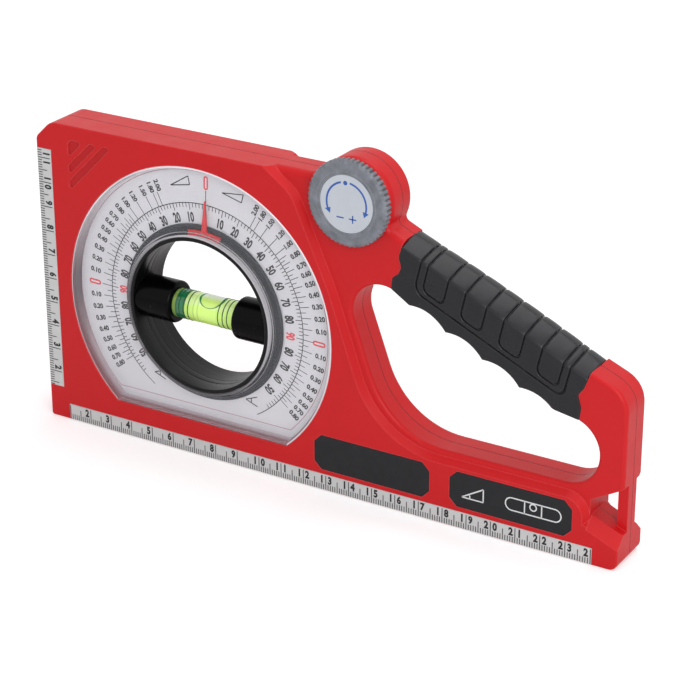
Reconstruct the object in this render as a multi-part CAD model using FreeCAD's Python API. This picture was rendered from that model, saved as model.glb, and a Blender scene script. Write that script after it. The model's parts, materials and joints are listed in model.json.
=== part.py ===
import FreeCAD, Part
import math
import os

# Hand-held inclinometer with a turning bubble ring, a grip and two edge rulers. Millimetres.
# +X runs along the base towards the grip, -Y faces the reader, +Z is up.
# The origin lies on the base measuring face, at the middle of its length and width.

# ---- body -------------------------------------------------------------------------------
body_length = 250.0          # between the two end faces
body_height = 125.0          # base face to top face
body_thickness = 20.0        # dial block and base bar
wall = 2.4                   # shell walls
seam_y = 0.6                 # plane where the two shells meet
seam_groove = 0.2            # width and depth of the groove along the seam
corner_cut_x = 7.0           # cut upper left corner, along the top
corner_cut_z = 6.8           # and down the end
corner_round_upper = 6.0
corner_round_lower = 3.0
base_corner_round = 1.2
base_end_round = 3.4         # lower corner under the lanyard slot
block_edge_round = 0.55      # front and rear edges of the dial block
handle_edge_round = 1.5      # front and rear edges round the grip and the column

# ---- step from the thick block down to the grip -----------------------------------------
front_step = 2.75            # depth of the step on the front
rear_step = 2.0              # and on the back
neck_step = 3.0              # depth on the back behind the knob
neck_step_height = 80.0      # the deeper step ends this far above the base
step_run = 1.9               # width of its slope
ledge_height = 24.3          # top of the thick base bar, on the front face
ledge_bend = 37.5            # large bend from the block into the base bar
ledge_end_bend = 7.0         # bend down at the lanyard corner
step_upper_from_left = 103.2
step_shoulder_from_left = 115.5
step_shoulder_drop = 8.8
step_shoulder_round = 12.0
step_waist_from_left = 131.2
step_waist_height = 81.5
step_waist_round = 60.0
step_lower_slope = 70.9      # degrees below the horizontal

# ---- grip opening and grip --------------------------------------------------------------
handle_slope = 24.7          # degrees, top line of the neck falling to the right
handle_axis_drop = 1.6       # the top line passes this far under the knob's axis
column_slope = 22.6          # degrees, top line of the column
column_proud = 0.65          # the column's top above the neck's line, at the grip's end
column_corner_round = 11.0
opening_floor = 28.3
opening_left_round = 12.3
opening_left_along = 28.5    # centre of that round, along the grip from the knob's axis
opening_left_under = 32.6    # and under the neck's top line
opening_bend = 33.0
opening_bend_from_left = 178.7
opening_right_round = 13.0
opening_right_from_right = 23.2
neck_fillet = 2.0            # where the knob's boss meets the grip and the top face
neck_edge_round = 2.6        # front edge of the boss and the neck
grip_start = 23.6            # along the grip, from the knob's axis
grip_end_margin = 16.2       # from the grip's far end to the column's end face, along the grip
grip_rise_start = 0.3        # the grip's arched top above the neck's line: at its start,
grip_rise_middle = 2.05      # at its middle
grip_rise_end = 1.5          # and at its end
grip_depth = 21.0            # neck's line to the first finger cusp
finger_fall = 0.32           # each further cusp lies this much deeper
grip_skin = 2.5              # thickness of the grip halves
grip_proud = 0.4             # how far the grip stands out of the shells
grip_round = 3.2
finger_pitch = 16.55
finger_dip = 2.2             # depth of the finger scallops
finger_first_cusp = 12.4     # from the grip's start
finger_cusps = 4
end_wave_round = 1.0
# The wavy ends of the grip, as (along the grip past its start or end, under the neck's top line).
grip_start_wave = ((1.0, 6.8), (3.5, 9.6), (3.7, 12.6), (2.2, 15.4))
grip_start_foot = (3.6, 19.8)
grip_end_wave = ((3.2, 13.7), (-0.1, 9.9), (0.6, 6.4))
grip_end_foot = ((-4.7, 20.9), (4.6, 18.4))

# ---- lanyard corner ---------------------------------------------------------------------
slot_wall_from_right = 12.4
slot_left_bottom = 17.8
slot_left_top = 24.4
slot_right_bottom = 12.4
slot_right_top = 31.4
slot_flare = 4.3             # depth of the sloping lips under the slot
slot_shoulder = 1.2          # the thick block reaches this far above the highest point of the lip
slot_rear_rise = 3.7         # how far the slot's top slopes up to the back
post_width = 4.0
post_thickness = 6.2

# ---- dial -------------------------------------------------------------------------------
dial_from_left = 72.9
dial_height = 58.9
cover_radius = 59.4
cover_chord_height = 14.4    # flat lower edge of the cover, above the base
cover_plate = 1.4            # clear front plate
cover_rim = 1.4              # clear side wall
cover_edge_round = 0.45
cover_clearance = 0.15
collar_wall = 1.45           # clear collar round the ring
collar_depth = 3.4           # from the front face to its inner end
dial_depth = 5.4             # from the front face to the printed dial
dial_sheet = 1.0
dial_hole_clearance = 0.8
dial_floor = 2.0             # shell floor under the dial

# ---- turning ring -----------------------------------------------------------------------
ring_bore = 30.0             # radius of the sight hole
ring_wall = 1.4
ring_set_back = 0.3          # ring ends behind the block's faces
ring_running_gap = 0.08      # radial gap in the shells
ring_end_play = 0.3
flange_radius = 35.7
flange_thickness = 0.7
cover_hole_gap = 0.35
thrust_width = 2.6
gear_width = 3.0
pointer_tip = 47.5           # radius of the needle's tip
pointer_width = 2.6
pointer_tip_round = 0.15
pointer_sheet = 0.7
pointer_base_inner = 31.6
pointer_base_outer = 33.6
pointer_base_span = 25.0     # degrees
pointer_lean = 2.9           # degrees clockwise, as the vial is set to the zero of the dial

# ---- vial -------------------------------------------------------------------------------
vial_radius = 5.75
vial_bore = 4.25
vial_half_length = 23.0
vial_axis_y = -0.8           # the vial lies this far before the ring's middle plane
vial_drop = 0.4              # and under the ring's axis
vial_end_wall = 3.0
vial_plug_length = 13.8
socket_radius = 8.3
socket_gap = 28.4            # free length of vial between the sockets
socket_bore_depth = 9.0
socket_spigot = 4.0
socket_mouth_round = 1.2
seat_clearance = 0.05
bubble_length = 11.2
bubble_shift = 1.5           # the bubble's middle lies this far right of the vial's
bubble_depth = 3.0
line_places = (6.9, 9.0, 11.0)   # printed rings, from the middle of the vial
line_width = 0.4
line_sheet = 0.12

# ---- gear train -------------------------------------------------------------------------
gear_module = 1.0
ring_teeth = 84
pinion_teeth = 20
pressure_angle = 20.0
tooth_thinning = 0.07        # taken off each tooth, for backlash
idler_pin_radius = 2.5
idler_pin_seat = 0.8         # depth of the pin in the dial's floor
idler_hub_radius = 5.0
idler_washer = 0.3           # end play each side of the idler
idler_room = 0.6             # the shells are relieved this far round its teeth
journal_gap = 0.05
spindle_radius = 3.0
spindle_flat = 2.3           # centre to the flat that drives the knob
rear_journal_radius = 2.5
boss_wall = 2.2              # wall of the bearing bosses

# ---- knob -------------------------------------------------------------------------------
knob_from_left = 140.1
knob_drop = 7.0              # axis under the top face
boss_radius = 16.0
knob_radius = 16.5
knob_front_y = -12.0
knob_gap = 0.3               # between the knob and its boss
knob_edge = 0.9
knob_ridges = 52
knob_ridge_depth = 0.8
knob_ridge_profile = ((0.0, 0.0), (0.45, 0.0), (0.7, 1.0), (0.85, 1.0))    # shares of pitch and depth
knob_hub_radius = 4.6
label_radius = 10.9
label_sheet = 0.5
label_set_in = 0.15
knob_web = 1.0
friction_inner = 7.6
friction_outer = 10.4
friction_groove = 0.9

# ---- fasteners, magnets, rulers and badges ----------------------------------------------
screw_radius = 1.45
screw_head_radius = 2.8
screw_head_height = 2.0
screw_head_round = 0.8
screw_length = 9.5
screw_sink = 3.0
screw_clearance = 0.25
pillar_radius = 4.2
screw_slot_reach = 1.6       # cross slot in the screw heads
screw_slot_width = 0.8
screw_edge = 9.0             # screws at the left end and at the top, from those edges
screw_low_left = 20.0        # heights of the two at the left end
screw_high_left = 100.0
screw_gear_gap = 1.53        # the top screw lies this far to the left of the idler's tip circle
screw_base_left = (117.5, 13.0)     # two in the base bar: from the left end, above the base
screw_base_right = (178.0, 15.0)
screw_at_neck = (2.5, 11.5)         # left of the opening's left bend, and above its top
screw_column_rise = 18.0            # above the floor of the opening
knob_screw_radius = 1.2
knob_screw_head = 2.4
knob_screw_head_height = 1.3
knob_screw_length = 5.5
knob_screw_slot = 0.6        # width of its slot
magnet_inset = 2.6           # a magnet ends this far inside its badge
magnet_height = 5.5
magnet_width = 10.0
magnet_lift = 0.8            # skin of the base under the magnets
ruler_sheet = 0.3
ruler_recess = 0.25
base_ruler_from_left = 9.4
base_ruler_from_right = 9.9
base_ruler_bottom = 0.3
base_ruler_top = 6.75
end_ruler_edge = 0.3
end_ruler_inner = 6.85
end_ruler_bottom = 13.7
end_ruler_from_top = 11.2
badge_gap = 8.6              # between the two badges
badge_bottom = 8.7
badge_top = 22.85
badge_corner = 3.0
badge_sheet = 0.8
left_badge_from_left = 124.8
right_badge_from_right = 18.2
label_clearance = 0.1
vent_depth = 0.5             # slanted shallow vents beside the dial
vent_left = 15.0             # their left ends, from the left end face
vent_top = 5.7               # their upper ends, under the top face
vent_round = 0.9
# Each vent lies between two lines falling at 45 degrees: the sums of both distances along them.
vent_bands = ((22.2, 27.9), (31.0, 34.8), (37.3, 41.2))

# ---- places that follow from the sizes above --------------------------------------------
left_x = -body_length / 2
right_x = body_length / 2
front_y = -body_thickness / 2
rear_y = body_thickness / 2
handle_front_y = front_y + front_step
handle_rear_y = rear_y - rear_step
neck_rear_y = rear_y - neck_step
dial_x = left_x + dial_from_left
knob_x = left_x + knob_from_left
knob_z = body_height - knob_drop
slot_x = right_x - slot_wall_from_right
dial_y = front_y + dial_depth
floor_y = dial_y + dial_sheet
web_y = floor_y + dial_floor
tube_radius = ring_bore + ring_wall
collar_inner = tube_radius + cover_hole_gap
gear_y = 0.0
gear_end_y = gear_y + gear_width
badge_length = (body_length - left_badge_from_left - right_badge_from_right - badge_gap) / 2
magnet_length = badge_length - 2 * magnet_inset
beyond = 12.0                # cutters reach this far past what they cut

slope = math.radians(handle_slope)
along_x = math.cos(slope)
along_z = -math.sin(slope)


def spot(x, z, y=0.0):
    return FreeCAD.Vector(x, y, z)


def on_grip(along, under):
    """A place given along the grip's top line, from the knob's axis, and square under that line."""
    under_x = along_z
    under_z = -along_x
    start_x = knob_x + handle_axis_drop * under_x
    start_z = knob_z + handle_axis_drop * under_z
    return (start_x + along * along_x + under * under_x, start_z + along * along_z + under * under_z)


def heading(start, end):
    dx = end[0] - start[0]
    dz = end[1] - start[1]
    length = math.hypot(dx, dz)
    return dx / length, dz / length


def joined(points, y):
    """Edges through the points in turn. A point is (x, z), or (x, z, x, z) for an arc's middle and end."""
    edges = []
    here = points[0][:2]
    for point in points[1:]:
        end = point[-2:]
        if len(point) == 4:
            middle = point[:2]
            edges.append(Part.Arc(spot(*here, y), spot(*middle, y), spot(*end, y)).toShape())
        elif math.dist(here, end) > 1e-6:
            edges.append(Part.makeLine(spot(*here, y), spot(*end, y)))
        here = end
    return Part.Wire(edges)


def rounded_points(corners):
    """A closed outline whose corners (x, z, radius) are rounded by tangent arcs."""
    points = []
    count = len(corners)
    for index, (x, z, radius) in enumerate(corners):
        back = heading((x, z), corners[index - 1])
        ahead = heading((x, z), corners[(index + 1) % count])
        if radius == 0:
            points.append((x, z))
            continue
        half = math.acos(back[0] * ahead[0] + back[1] * ahead[1]) / 2
        reach = radius / math.tan(half)
        inward = radius / math.sin(half) - radius
        middle = heading((0, 0), (back[0] + ahead[0], back[1] + ahead[1]))
        points.append((x + reach * back[0], z + reach * back[1]))
        points.append((x + inward * middle[0], z + inward * middle[1],
                       x + reach * ahead[0], z + reach * ahead[1]))
    points.append(points[0][-2:])
    return points


def inset_corners(corners, distance):
    """The outline with every side moved inwards. The corners run anticlockwise seen from the front."""
    moved = []
    count = len(corners)
    for index, (x, z, radius) in enumerate(corners):
        before = heading(corners[index - 1], (x, z))
        after = heading((x, z), corners[(index + 1) % count])
        share = distance / (1 + before[0] * after[0] + before[1] * after[1])
        turns_left = before[0] * after[1] - before[1] * after[0] > 0
        if radius > 0:
            radius = max(radius - distance if turns_left else radius + distance, 0.0)
        moved.append((x - share * (before[1] + after[1]), z + share * (before[0] + after[0]), radius))
    return moved


def slab(corners, y, end_y):
    """A flat solid from y to end_y with the rounded outline."""
    return Part.Face(joined(rounded_points(corners), y)).extrude(spot(0, 0, end_y - y))


def belt(circles, y, end_y):
    """A flat solid bounded by a tight belt run anticlockwise round the circles (x, z, radius)."""
    points = []
    count = len(circles)
    leave = []
    for index, (x, z, radius) in enumerate(circles):
        next_x, next_z, next_radius = circles[(index + 1) % count]
        gap = math.hypot(next_x - x, next_z - z)
        leave.append(math.atan2(next_z - z, next_x - x) - math.acos((radius - next_radius) / gap))
    for index, (x, z, radius) in enumerate(circles):
        arrive = leave[index - 1]
        turn = (leave[index] - arrive) % (2 * math.pi)
        on_rim = [(x + radius * math.cos(arrive + share * turn), z + radius * math.sin(arrive + share * turn))
                  for share in (0.0, 0.5, 1.0)]
        points.append(on_rim[0])
        points.append(on_rim[1] + on_rim[2])
    points.append(points[0])
    return Part.Face(joined(points, y)).extrude(spot(0, 0, end_y - y))


def rod(x, z, radius, y, end_y):
    return Part.makeCylinder(radius, end_y - y, spot(x, z, y), spot(0, 0, 1))


def tube(x, z, outer, inner, y, end_y):
    return rod(x, z, outer, y, end_y).cut(rod(x, z, inner, y, end_y))


def block(x, end_x, y, end_y, z, end_z):
    return Part.makeBox(end_x - x, end_y - y, end_z - z, spot(x, z, y))


def fused(shapes):
    return shapes[0].multiFuse(shapes[1:]).removeSplitter()


def rounded_rims(solid, radius, levels, hole=None):
    """The solid with its rims on the given Y planes rounded, or only those round a hole."""
    rims = [edge for edge in solid.Edges
            if any(abs(edge.BoundBox.YMin - y) < 1e-6 and abs(edge.BoundBox.YMax - y) < 1e-6 for y in levels)]
    if hole is not None:
        rims = [edge for edge in rims if hole.distToShape(edge)[0] < 1e-6]
    return solid.makeFillet(radius, rims)


def export(name, shape):
    shape.exportStep("parts/" + name + ".step")
    print(name, len(shape.Solids), "valid" if shape.isValid() else "NOT VALID", round(shape.Volume, 1))


# ---- outlines ---------------------------------------------------------------------------
def grip_end():
    """Where the grip ends, along the grip from the knob's axis."""
    return (right_x - on_grip(0, 0)[0]) / along_x - grip_end_margin


def body_corners():
    """Side outline of the body without the knob's boss; two corners lie hidden inside the boss."""
    axis_point = on_grip(0, 0)
    column_start = on_grip(grip_end(), -column_proud)
    fall = math.tan(math.radians(column_slope))
    hidden_bend = on_grip(grip_start + beyond, 0)
    return [
        (left_x, 0.0, base_corner_round),
        (right_x, 0.0, base_end_round),
        (right_x, column_start[1] - fall * (right_x - column_start[0]), column_corner_round),
        (column_start[0] - beyond, column_start[1] + fall * beyond, 0.0),
        (hidden_bend[0], hidden_bend[1], 0.0),
        (axis_point[0], axis_point[1], 0.0),
        (axis_point[0], body_height, 0.0),
        (left_x + corner_cut_x, body_height, corner_round_upper),
        (left_x, body_height - corner_cut_z, corner_round_lower),
    ]


def opening_circles(extra=0.0):
    """The grip opening: a small bend under the neck, a large one to its floor, and the column's bend."""
    left = on_grip(opening_left_along, opening_left_under)
    return [
        (left[0], left[1], opening_left_round + extra),
        (left_x + opening_bend_from_left, opening_floor + opening_bend, opening_bend + extra),
        (right_x - opening_right_from_right, opening_floor + opening_right_round, opening_right_round + extra),
    ]


def block_corners():
    """Front face of the thick dial block and base bar; its outer sides run past the body."""
    lip_shoulder = slot_left_bottom - slot_flare + slot_shoulder
    lower_run = (step_waist_height - ledge_height) / math.tan(math.radians(step_lower_slope))
    waist_x = left_x + step_waist_from_left
    return [
        (left_x - beyond, -beyond, 0.0),
        (right_x + beyond, -beyond, 0.0),
        (right_x + beyond, lip_shoulder, 0.0),
        (slot_x - step_run, lip_shoulder, 0.0),
        (slot_x - step_run, ledge_height, ledge_end_bend),
        (waist_x + lower_run, ledge_height, ledge_bend),
        (waist_x, step_waist_height, step_waist_round),
        (left_x + step_shoulder_from_left, body_height - step_shoulder_drop, step_shoulder_round),
        (left_x + step_upper_from_left, body_height, 0.0),
        (left_x + step_upper_from_left - 2 * beyond, body_height + 2 * beyond, 0.0),
        (left_x - beyond, body_height + 2 * beyond, 0.0),
    ]


def slot_corners(lowered=0.0, raised=0.0):
    """The lanyard slot seen from the front, open towards the end of the body."""
    outer_x = slot_x + 2 * slot_wall_from_right
    rise = (slot_right_top - slot_left_top) / slot_wall_from_right
    fall = (slot_left_bottom - slot_right_bottom) / slot_wall_from_right
    reach = outer_x - slot_x
    return [
        (slot_x, slot_left_bottom - lowered, 0.0),
        (outer_x, slot_left_bottom - lowered - fall * reach, 0.0),
        (outer_x, slot_left_top + rise * reach + raised, 0.0),
        (slot_x, slot_left_top + raised, 0.0),
    ]


def finger_cusp(number):
    return on_grip(grip_start + finger_first_cusp + finger_pitch * number, grip_depth + finger_fall * number)


def grip_outline(y, end_y):
    """The grip with its arched top and wavy ends; the finger scallops are cut later."""
    end = grip_end()
    last_cusp = finger_cusp(finger_cusps - 1)
    first_cusp = finger_cusp(0)
    corners = [(*on_grip(grip_start, -grip_rise_start), 0.0)]
    corners.extend((*on_grip(grip_start + past, under), end_wave_round) for past, under in grip_start_wave)
    corners.append((*on_grip(grip_start + grip_start_foot[0], grip_start_foot[1]), 0.0))
    corners.extend([(*first_cusp, 0.0), (*last_cusp, 0.0)])
    corners.extend((*on_grip(end + past, under), 0.0) for past, under in grip_end_foot)
    corners.extend((*on_grip(end + past, under), end_wave_round) for past, under in grip_end_wave)
    corners.append((*on_grip(end, -grip_rise_end), 0.0))
    points = rounded_points(corners)[:-1]
    crown = on_grip((grip_start + end) / 2, -grip_rise_middle)
    points.append(crown + points[0])
    return Part.Face(joined(points, y)).extrude(spot(0, 0, end_y - y))


# ---- gears ------------------------------------------------------------------------------
def gear(x, z, teeth, turn, y, end_y):
    """A spur gear; each flank is one arc through the root, middle and tip of its involute."""
    pressure = math.radians(pressure_angle)
    pitch_radius = gear_module * teeth / 2
    base_radius = pitch_radius * math.cos(pressure)
    root_radius = pitch_radius - 1.25 * gear_module
    tip_radius = pitch_radius + gear_module
    flank_start = max(root_radius, base_radius)

    def half_tooth(radius):
        angle = math.acos(base_radius / radius)
        half_pitch = math.pi / (2 * teeth) - tooth_thinning / (2 * pitch_radius)
        return half_pitch + (math.tan(pressure) - pressure) - (math.tan(angle) - angle)

    def rim(radius, angle):
        return (x + radius * math.cos(angle), z + radius * math.sin(angle))

    flank_middle = (flank_start + tip_radius) / 2
    points = []
    for tooth in range(teeth):
        centre = turn + 2 * math.pi * tooth / teeth
        foot = half_tooth(flank_start)
        crown = half_tooth(tip_radius)
        waist = half_tooth(flank_middle)
        gap_middle = centre + math.pi / teeth
        next_foot = centre + 2 * math.pi / teeth - foot
        points.append(rim(root_radius, centre - foot))
        points.append(rim(flank_start, centre - foot))
        points.append(rim(flank_middle, centre - waist) + rim(tip_radius, centre - crown))
        points.append(rim(tip_radius, centre) + rim(tip_radius, centre + crown))
        points.append(rim(flank_middle, centre + waist) + rim(flank_start, centre + foot))
        points.append(rim(root_radius, centre + foot))
        points.append(rim(root_radius, gap_middle) + rim(root_radius, next_foot))
    return Part.Face(joined(points, y)).extrude(spot(0, 0, end_y - y))


def gear_train():
    """Places and turns of the three gears, so that they mesh at rest: ring, idler, pinion."""
    span = math.hypot(knob_x - dial_x, knob_z - dial_height)
    idler_teeth = math.ceil((2 * span / gear_module - ring_teeth - pinion_teeth) / 2)
    first = gear_module * (ring_teeth + idler_teeth) / 2
    second = gear_module * (idler_teeth + pinion_teeth) / 2
    towards = math.atan2(knob_z - dial_height, knob_x - dial_x)
    bend = math.acos((first ** 2 + span ** 2 - second ** 2) / (2 * first * span))
    first_way = towards - bend
    idler_x = dial_x + first * math.cos(first_way)
    idler_z = dial_height + first * math.sin(first_way)
    second_way = math.atan2(knob_z - idler_z, knob_x - idler_x)

    def meshed(turn, teeth, way, next_teeth):
        phase = teeth * (way - turn) / (2 * math.pi)
        return way + math.pi - 2 * math.pi * (0.5 - phase) / next_teeth

    idler_turn = meshed(0.0, ring_teeth, first_way, idler_teeth)
    pinion_turn = meshed(idler_turn, idler_teeth, second_way, pinion_teeth)
    return idler_x, idler_z, idler_teeth, idler_turn, pinion_turn


idler_x, idler_z, idler_teeth, idler_turn, pinion_turn = gear_train()
idler_tip = gear_module * (idler_teeth / 2 + 1)


# ---- housing ----------------------------------------------------------------------------
def screw_places():
    """Screws that join the shells, clear of the gears: (x, z)."""
    column_middle = right_x - (opening_right_from_right - opening_right_round) / 2
    opening_left = opening_circles()[0]
    return [
        (left_x + screw_edge, screw_low_left),
        (left_x + screw_edge, screw_high_left),
        (idler_x - idler_tip - screw_gear_gap, body_height - screw_edge),
        (left_x + screw_base_left[0], screw_base_left[1]),
        (opening_left[0] - screw_at_neck[0], opening_left[1] + opening_left_round + screw_at_neck[1]),
        (left_x + screw_base_right[0], screw_base_right[1]),
        (column_middle, opening_floor + screw_column_rise),
    ]


def magnet_boxes(extra=0.0):
    """The two magnets over the base face, one behind each badge."""
    boxes = []
    for badge_x in (left_x + left_badge_from_left, right_x - right_badge_from_right - badge_length):
        start_x = badge_x + magnet_inset
        boxes.append(block(start_x - extra, start_x + magnet_length + extra,
                           seam_y - magnet_width / 2 - extra, seam_y + magnet_width / 2 + extra,
                           magnet_lift - extra, magnet_lift + magnet_height + extra))
    return boxes


def grip_core():
    """The bar inside the grip, part of the two shells."""
    start = grip_start - beyond
    end = grip_end() + beyond
    lower = grip_depth - finger_dip - grip_skin
    corners = [(start, grip_skin, 0.0), (start, lower, 0.0), (end, lower - grip_skin, 0.0), (end, grip_skin, 0.0)]
    return slab([(*on_grip(along, under), radius) for along, under, radius in corners],
                handle_front_y + grip_skin, neck_rear_y - grip_skin / 2)


def handle_prism(front_round, rear_face_y):
    """The body's outline with the boss and the grip opening, as thick as the grip."""
    outline = slab(body_corners(), handle_front_y, rear_face_y)
    outline = outline.fuse(rod(knob_x, knob_z, boss_radius, handle_front_y, rear_face_y)).removeSplitter()
    necks = [edge for edge in outline.Edges
             if edge.BoundBox.YLength > 1 and edge.BoundBox.XLength < 1e-6 and edge.BoundBox.ZLength < 1e-6
             and abs(math.hypot(edge.CenterOfMass.x - knob_x, edge.CenterOfMass.z - knob_z) - boss_radius) < 1e-3]
    outline = outline.makeFillet(neck_fillet, necks)
    outline = rounded_rims(outline, front_round, (handle_front_y,))
    outline = rounded_rims(outline, handle_edge_round, (rear_face_y,))
    opening = belt(opening_circles(), handle_front_y - beyond, handle_rear_y + beyond)
    return rounded_rims(outline.cut(opening), handle_edge_round, (handle_front_y, rear_face_y), opening)


def neck_zone(y, end_y):
    """The part of the handle behind the knob and up to under the grip."""
    opening_left = opening_circles()[0]
    corners = [(left_x + step_upper_from_left - beyond, neck_step_height),
               (opening_left[0], neck_step_height),
               on_grip(grip_start + beyond / 2, grip_depth),
               on_grip(grip_start + beyond / 2, -2 * beyond),
               (left_x + step_upper_from_left - beyond, body_height + 2 * beyond)]
    return slab([(x, z, 0.0) for x, z in corners], y, end_y)


def outer_body():
    """The closed outside of both shells together."""
    full = rounded_rims(slab(body_corners(), front_y, rear_y), block_edge_round, (front_y, rear_y))
    foot = inset_corners(block_corners(), -step_run)
    faces = block_corners()
    step = fused([
        Part.makeLoft([joined(rounded_points(faces), front_y), joined(rounded_points(foot), handle_front_y)],
                      True, True),
        slab(foot, handle_front_y, handle_rear_y),
        Part.makeLoft([joined(rounded_points(foot), handle_rear_y), joined(rounded_points(faces), rear_y)],
                      True, True),
    ])
    thick = full.common(step)
    column = handle_prism(handle_edge_round, handle_rear_y).cut(neck_zone(front_y, rear_y))
    neck = handle_prism(neck_edge_round, neck_rear_y).common(neck_zone(front_y, rear_y))
    return fused([thick, column, neck])


def slot_cutter():
    """The lanyard slot with sloping lips on the front and back, around the post that stays."""
    lips = [joined(rounded_points(slot_corners(slot_flare)), front_y),
            joined(rounded_points(slot_corners()), front_y + slot_flare)]
    rear_lips = [joined(rounded_points(slot_corners()), rear_y - slot_flare),
                 joined(rounded_points(slot_corners(slot_flare, slot_rear_rise)), rear_y)]
    cutter = fused([
        Part.makeLoft(lips, True, True),
        slab(slot_corners(), front_y + slot_flare, rear_y - slot_flare),
        Part.makeLoft(rear_lips, True, True),
    ])
    post = block(right_x - post_width, right_x, seam_y - post_thickness / 2, seam_y + post_thickness / 2,
                 slot_right_bottom - slot_flare, slot_right_top + slot_flare)
    return cutter.cut(post)


def inside(distance, y, end_y):
    """The body's outline moved inwards by distance, with the grip opening left standing."""
    shape = slab(inset_corners(body_corners(), distance), y, end_y)
    shape = shape.fuse(rod(knob_x, knob_z, boss_radius - distance, y, end_y))
    return shape.cut(belt(opening_circles(distance), y - beyond, end_y + beyond))


def grip_room():
    """The space that the grip halves fill: the grip's outline less the bar inside it."""
    return grip_outline(handle_front_y - beyond, handle_rear_y + beyond).cut(grip_core())


def rear_face(x, z):
    """Y of the outer back of the body at a place."""
    if z < ledge_height or x < left_x + step_waist_from_left:
        return rear_y
    in_neck = neck_zone(0, 1).isInside(spot(x, z, 0.5), 1e-6, True)
    return neck_rear_y if in_neck else handle_rear_y


def hollow():
    """The space inside the shells."""
    neck_room = neck_zone(web_y, handle_rear_y).common(inside(wall, web_y, neck_rear_y - wall))
    rear_room = inside(wall, web_y, handle_rear_y - wall).cut(neck_zone(front_y, rear_y)).fuse(neck_room)
    block_room = inside(wall, handle_rear_y - wall, rear_y - wall).common(
        slab(inset_corners(block_corners(), wall), handle_rear_y - wall, rear_y - wall))
    front_room = inside(wall, handle_front_y + wall, web_y).cut(
        rod(dial_x, dial_height, cover_radius + wall, handle_front_y, web_y))
    room = fused([rear_room, block_room, front_room])
    end = grip_end()
    grip_zone = slab([(*on_grip(a, under), 0.0) for a, under in
                      ((grip_start - wall, -beyond), (grip_start - wall, grip_depth + beyond),
                       (end + beyond, grip_depth), (end + wall, -beyond))],
                     front_y, rear_y)
    magnet_zone = block(left_x + left_badge_from_left - wall, right_x, front_y, rear_y,
                        0.0, magnet_lift + magnet_height + wall)
    slot_zone = block(slot_x - wall, right_x, front_y, rear_y, 0.0, slot_right_top + wall)
    idler_zone = rod(idler_x, idler_z, idler_tip + idler_room, gear_y - idler_washer, gear_end_y + idler_washer)
    return room.cut(grip_zone).cut(magnet_zone).cut(slot_zone).fuse(idler_zone)


def shell_bosses():
    """Pillars and bearings inside the shells, all in one: cut to each shell at the seam."""
    parts = [rod(x, z, pillar_radius, handle_front_y + wall / 2, rear_face(x, z) - wall / 2)
             for x, z in screw_places()]
    parts.append(tube(dial_x, dial_height, tube_radius + thrust_width, tube_radius + ring_running_gap,
                      web_y, gear_y - ring_end_play))
    parts.append(tube(dial_x, dial_height, tube_radius + thrust_width, tube_radius + ring_running_gap,
                      gear_end_y + ring_end_play, rear_y - wall))
    parts.append(rod(idler_x, idler_z, idler_hub_radius, web_y - dial_floor / 2, gear_y - idler_washer))
    parts.append(rod(idler_x, idler_z, idler_hub_radius, gear_end_y + idler_washer, rear_y - wall / 2))
    hub_hole = knob_hub_radius + journal_gap
    parts.append(rod(knob_x, knob_z, friction_outer + boss_wall, handle_front_y + wall / 2,
                     handle_front_y + wall + friction_groove))
    parts.append(rod(knob_x, knob_z, hub_hole + boss_wall, handle_front_y + wall / 2, gear_y - idler_washer))
    parts.append(rod(knob_x, knob_z, rear_journal_radius + boss_wall, gear_end_y + idler_washer,
                     neck_rear_y - wall / 2))
    return parts


def shell_cutters():
    """Holes and recesses in the shells."""
    recess = rod(dial_x, dial_height, cover_radius + cover_clearance, front_y - beyond, floor_y)
    below = block(left_x, right_x, front_y - 2 * beyond, rear_y, -beyond, cover_chord_height - cover_clearance)
    cutters = [recess.cut(below)]
    cutters.append(rod(dial_x, dial_height, tube_radius + ring_running_gap, floor_y - 1, rear_y + beyond))
    cutters.append(idler_pin())
    cutters.append(rod(knob_x, knob_z, knob_hub_radius + journal_gap, handle_front_y - beyond, gear_y))
    cutters.append(tube(knob_x, knob_z, friction_outer + journal_gap, friction_inner - journal_gap,
                        handle_front_y - beyond, handle_front_y + friction_groove))
    cutters.append(rod(knob_x, knob_z, rear_journal_radius + journal_gap, gear_y, journal_end_y() + journal_gap))
    for x, z in screw_places():
        head_y = rear_face(x, z) - screw_sink
        cutters.append(rod(x, z, screw_head_radius + screw_clearance, head_y, rear_y + beyond))
        cutters.append(rod(x, z, screw_radius + screw_clearance, seam_y, head_y))
        cutters.append(rod(x, z, screw_radius, head_y - screw_length - screw_clearance, seam_y))
    cutters.extend(magnet_boxes(label_clearance))
    cutters.extend(ruler_plates(front_y - beyond, front_y + ruler_recess, label_clearance))
    cutters.extend(badge_plates(front_y - beyond, front_y + badge_sheet, label_clearance))
    cutters.extend(vent_grooves())
    cutters.append(slot_cutter())
    return cutters


def journal_end_y():
    """Rear end of the spindle, in the shell's back wall."""
    return neck_rear_y - wall / 2


def vent_grooves():
    """Three slanted vents in the upper left corner, cut off by an upright and a level line."""
    grooves = []
    for near, far in vent_bands:
        corners = [(vent_left, near - vent_left), (near - vent_top, vent_top),
                   (far - vent_top, vent_top), (vent_left, far - vent_left)]
        outline = [(left_x + x, body_height - drop, vent_round) for x, drop in corners]
        grooves.append(slab(outline, front_y - beyond, front_y + vent_depth))
    return grooves


def ruler_plates(y, end_y, extra=0.0):
    base = block(left_x + base_ruler_from_left - extra, right_x - base_ruler_from_right + extra, y, end_y,
                 base_ruler_bottom - (beyond if extra else 0), base_ruler_top + extra)
    end = block(left_x + end_ruler_edge - (beyond if extra else 0), left_x + end_ruler_inner + extra, y, end_y,
                end_ruler_bottom - extra, body_height - end_ruler_from_top + extra)
    return [base, end]


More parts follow.
